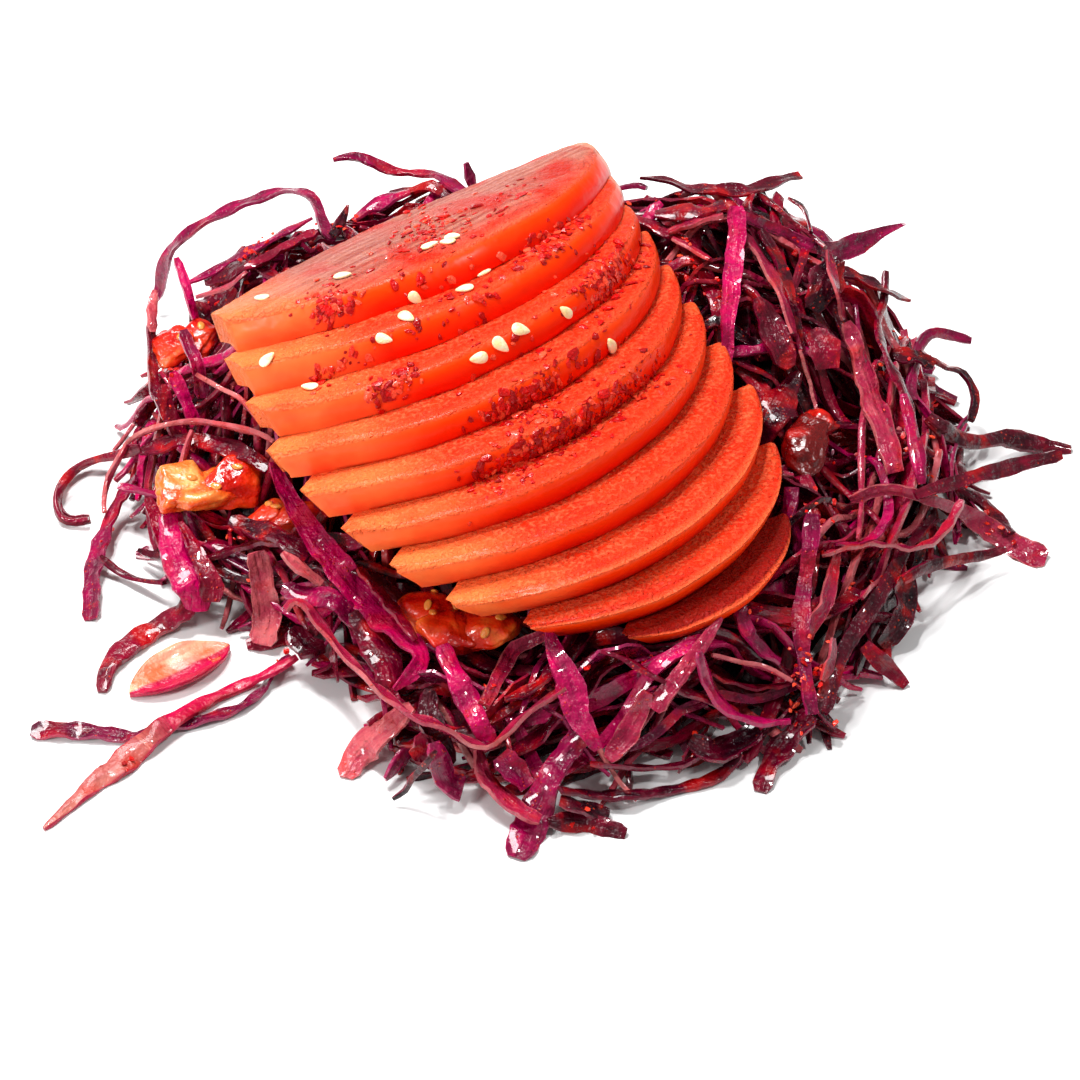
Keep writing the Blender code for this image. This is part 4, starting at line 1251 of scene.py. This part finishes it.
SESAME = ("262,299 343,277 430,247 448,243 453,238 415,298 407,318 384,339 484,274 "
          "465,290 478,358 500,345 520,330 565,312 610,345 310,388 268,360")
SESAME_HALF = (1.45 * MM, 0.85 * MM, 0.42 * MM)
SESAME_RANGE = (0.88, 1.1)
SESAME_TURN = 0.45                      # spread, in radians
SESAME_TAPER = 0.42
SESAME_LIFT = 0.75                      # of the half thickness

# clusters of flakes on the slices: pixel, spread in pixels along and across the fan, how many
FLAKE_CLUSTERS = (
    (412, 207, 12, 6, 22), (428, 232, 18, 10, 60), (330, 305, 14, 12, 60), (550, 241, 22, 7, 70),
    (612, 270, 20, 12, 90), (598, 290, 16, 10, 40), (390, 388, 14, 7, 40), (330, 372, 18, 6, 20),
    (535, 398, 26, 10, 120), (500, 410, 12, 6, 24), (530, 455, 32, 10, 150), (600, 412, 36, 9, 90),
    (640, 380, 16, 10, 30), (440, 300, 40, 30, 36), (470, 220, 50, 10, 30), (560, 350, 60, 40, 36),
)
LARGE_FLAKE_SIZES = (0.5 * MM, 0.9 * MM)
LARGE_FLAKES = 0.09                     # their share
FLAKE_DENSITY = 1.9
FLAKE_TURN = -32
FLAKE_SIZES = (0.22 * MM, 0.55 * MM)
CRUMB_GROUPS = 190
CRUMB_COUNTS = (3, 16)                  # crumbs in a group
CRUMB_SPREAD = 1.6                      # in mm
CRUMB_LOWEST = 1.2 * MM                 # none lie on the bare surface
CRUMB_HIGHEST = 4 * MM                  # above the CAD heap
CRUMB_SINK = 0.25 * MM
CRUMB_SIZES = (0.20 * MM, 0.55 * MM)
GRAIN_FORM = ((0.8, 1.7), (0.6, 1.1), (0.25, 0.6))      # length, breadth and depth as shares of its size
GRAIN_JAGS = 0.35


def small_body(subdivisions):
    """Corners and faces of a small ball."""
    body = bmesh.new()
    bmesh.ops.create_icosphere(body, subdivisions=subdivisions, radius=1)
    corners = np.array([vert.co for vert in body.verts])
    faces = [[vert.index for vert in face.verts] for face in body.faces]
    body.free()
    return corners, faces


def lying_axes(normal, turn):
    """Three axes, the last along the normal, turned about it."""
    normal = Vector(normal).normalized()
    first = Vector((math.cos(turn), math.sin(turn), 0)).cross(normal).normalized()
    return np.array((first, normal.cross(first), normal))


def seen_on(trees, u, v):
    """Nearest point, and its normal, that the photo's pixel shows on these search trees."""
    sight = Vector(view.sight(u, v))
    hits = [tree.ray_cast(Vector(view.place), sight) for tree in trees]
    hits = [hit for hit in hits if hit[0] is not None]
    if not hits:
        return None
    hit = min(hits, key=lambda found: found[3])
    normal = hit[1] if hit[1].dot(sight) < 0 else -hit[1]
    return hit[0], normal


def make_sesame(trees):
    dice = random.Random(3)
    corners, faces = small_body(4)
    maker = MeshMaker()
    pointed = corners.copy()
    pointed[:, 1] *= 1 - SESAME_TAPER * corners[:, 0]
    for u, v in spots(SESAME):
        found = seen_on(trees, u, v)
        if found is None:
            continue
        place, normal = found
        size = np.array(SESAME_HALF) * dice.uniform(*SESAME_RANGE)
        axes = lying_axes(normal, math.pi / 2 + dice.gauss(0, SESAME_TURN) + dice.choice((0, math.pi)))
        maker.add(np.array(place + normal * size[2] * SESAME_LIFT) + (pointed * size) @ axes, faces)
    maker.build("sesame_seeds", sesame_paint(), "sesame_seed")


def add_grain(maker, dice, corners, faces, place, normal, sizes, tone):
    """One irregular flake or crumb, half sunk into what it lies on."""
    size = dice.uniform(*sizes)
    stretch = np.array([dice.uniform(*limits) for limits in GRAIN_FORM]) * size
    jag = 1 + np.array([dice.uniform(-GRAIN_JAGS, GRAIN_JAGS) for _ in corners])[:, None]
    axes = lying_axes(normal, dice.uniform(0, math.tau))
    centre = np.array(place) + np.array(normal) * stretch[2] * 0.5
    maker.add(centre + (corners * jag * stretch) @ axes, faces, tone=tone)


def make_flakes(trees):
    """Chili flakes in clusters on the slices."""
    dice = random.Random(21)
    corners, faces = small_body(1)
    maker = MeshMaker("tone")
    turn = math.radians(FLAKE_TURN)
    cosine, sine = math.cos(turn), math.sin(turn)
    for u, v, length, breadth, count in FLAKE_CLUSTERS:
        for _ in range(int(count * FLAKE_DENSITY)):
            a = dice.gauss(0, length)
            b = dice.gauss(0, breadth)
            found = seen_on(trees, u + a * cosine - b * sine, v + a * sine + b * cosine)
            if found is not None:
                sizes = LARGE_FLAKE_SIZES if dice.random() < LARGE_FLAKES else FLAKE_SIZES
                add_grain(maker, dice, corners, faces, *found, sizes, dice.random())
    maker.build("chili_flakes", flake_paint(), "chili_flake", crisp=30)


def make_crumbs():
    """Bits of chopped chili and tomato that cling to the cabbage in small groups."""
    dice = random.Random(34)
    corners, faces = small_body(1)
    maker = MeshMaker("tone")
    rows, columns = np.nonzero(pile.height > 1.5 * MM)
    for _ in range(CRUMB_GROUPS):
        pick = dice.randrange(len(rows))
        middle = pile.corner + np.array((columns[pick], rows[pick])) * CELL
        for _ in range(dice.randrange(*CRUMB_COUNTS)):
            x, y = middle + np.array([dice.gauss(0, CRUMB_SPREAD) for _ in range(2)]) * MM
            height = float(pile.at(pile.height, x, y))
            stray = height < CRUMB_LOWEST or height > pile.at(pile.heap, x, y) + CRUMB_HIGHEST
            if stray or np.isfinite(pile.at(pile.ceiling, x, y)):
                continue
            normal = Vector((dice.uniform(-0.4, 0.4), dice.uniform(-0.6, 0.2), 1)).normalized()
            place = (x, y, height - CRUMB_SINK)
            add_grain(maker, dice, corners, faces, place, normal, CRUMB_SIZES, dice.random())
    maker.build("chili_crumbs", flake_paint(), "chili_flake", crisp=30)


# ---------------------------------------------------------------- the salad

view = PhotoView()
view.add_camera()
add_studio()

pile = Pile()
paints = {kind: cabbage_paint(*look) for kind, look in CABBAGE.items()}
tangles = {kind: MeshMaker("tone", "cut", "along", "across") for kind in paints}

make_core()
fill_heap(tangles)
paints["rib"] = leaf_paint("cabbage rib", (196, 112, 98), (158, 56, 60), (176, 36, 16))
make_leaf(leaf_paint("pale leaf", (228, 178, 136), (214, 112, 96), (214, 84, 26)))
make_outlying(paints)
lay_traced_shreds(tangles)
for kind, tangle in tangles.items():
    slot = "pale_cabbage" if kind == "pink" else "red_cabbage"
    tangle.build(f"shreds_{kind}", paints[kind], slot, "cabbage_heap", crisp=60)

slice_trees = make_slices()
make_chunks()
make_sesame(slice_trees)
make_flakes(slice_trees)
make_crumbs()
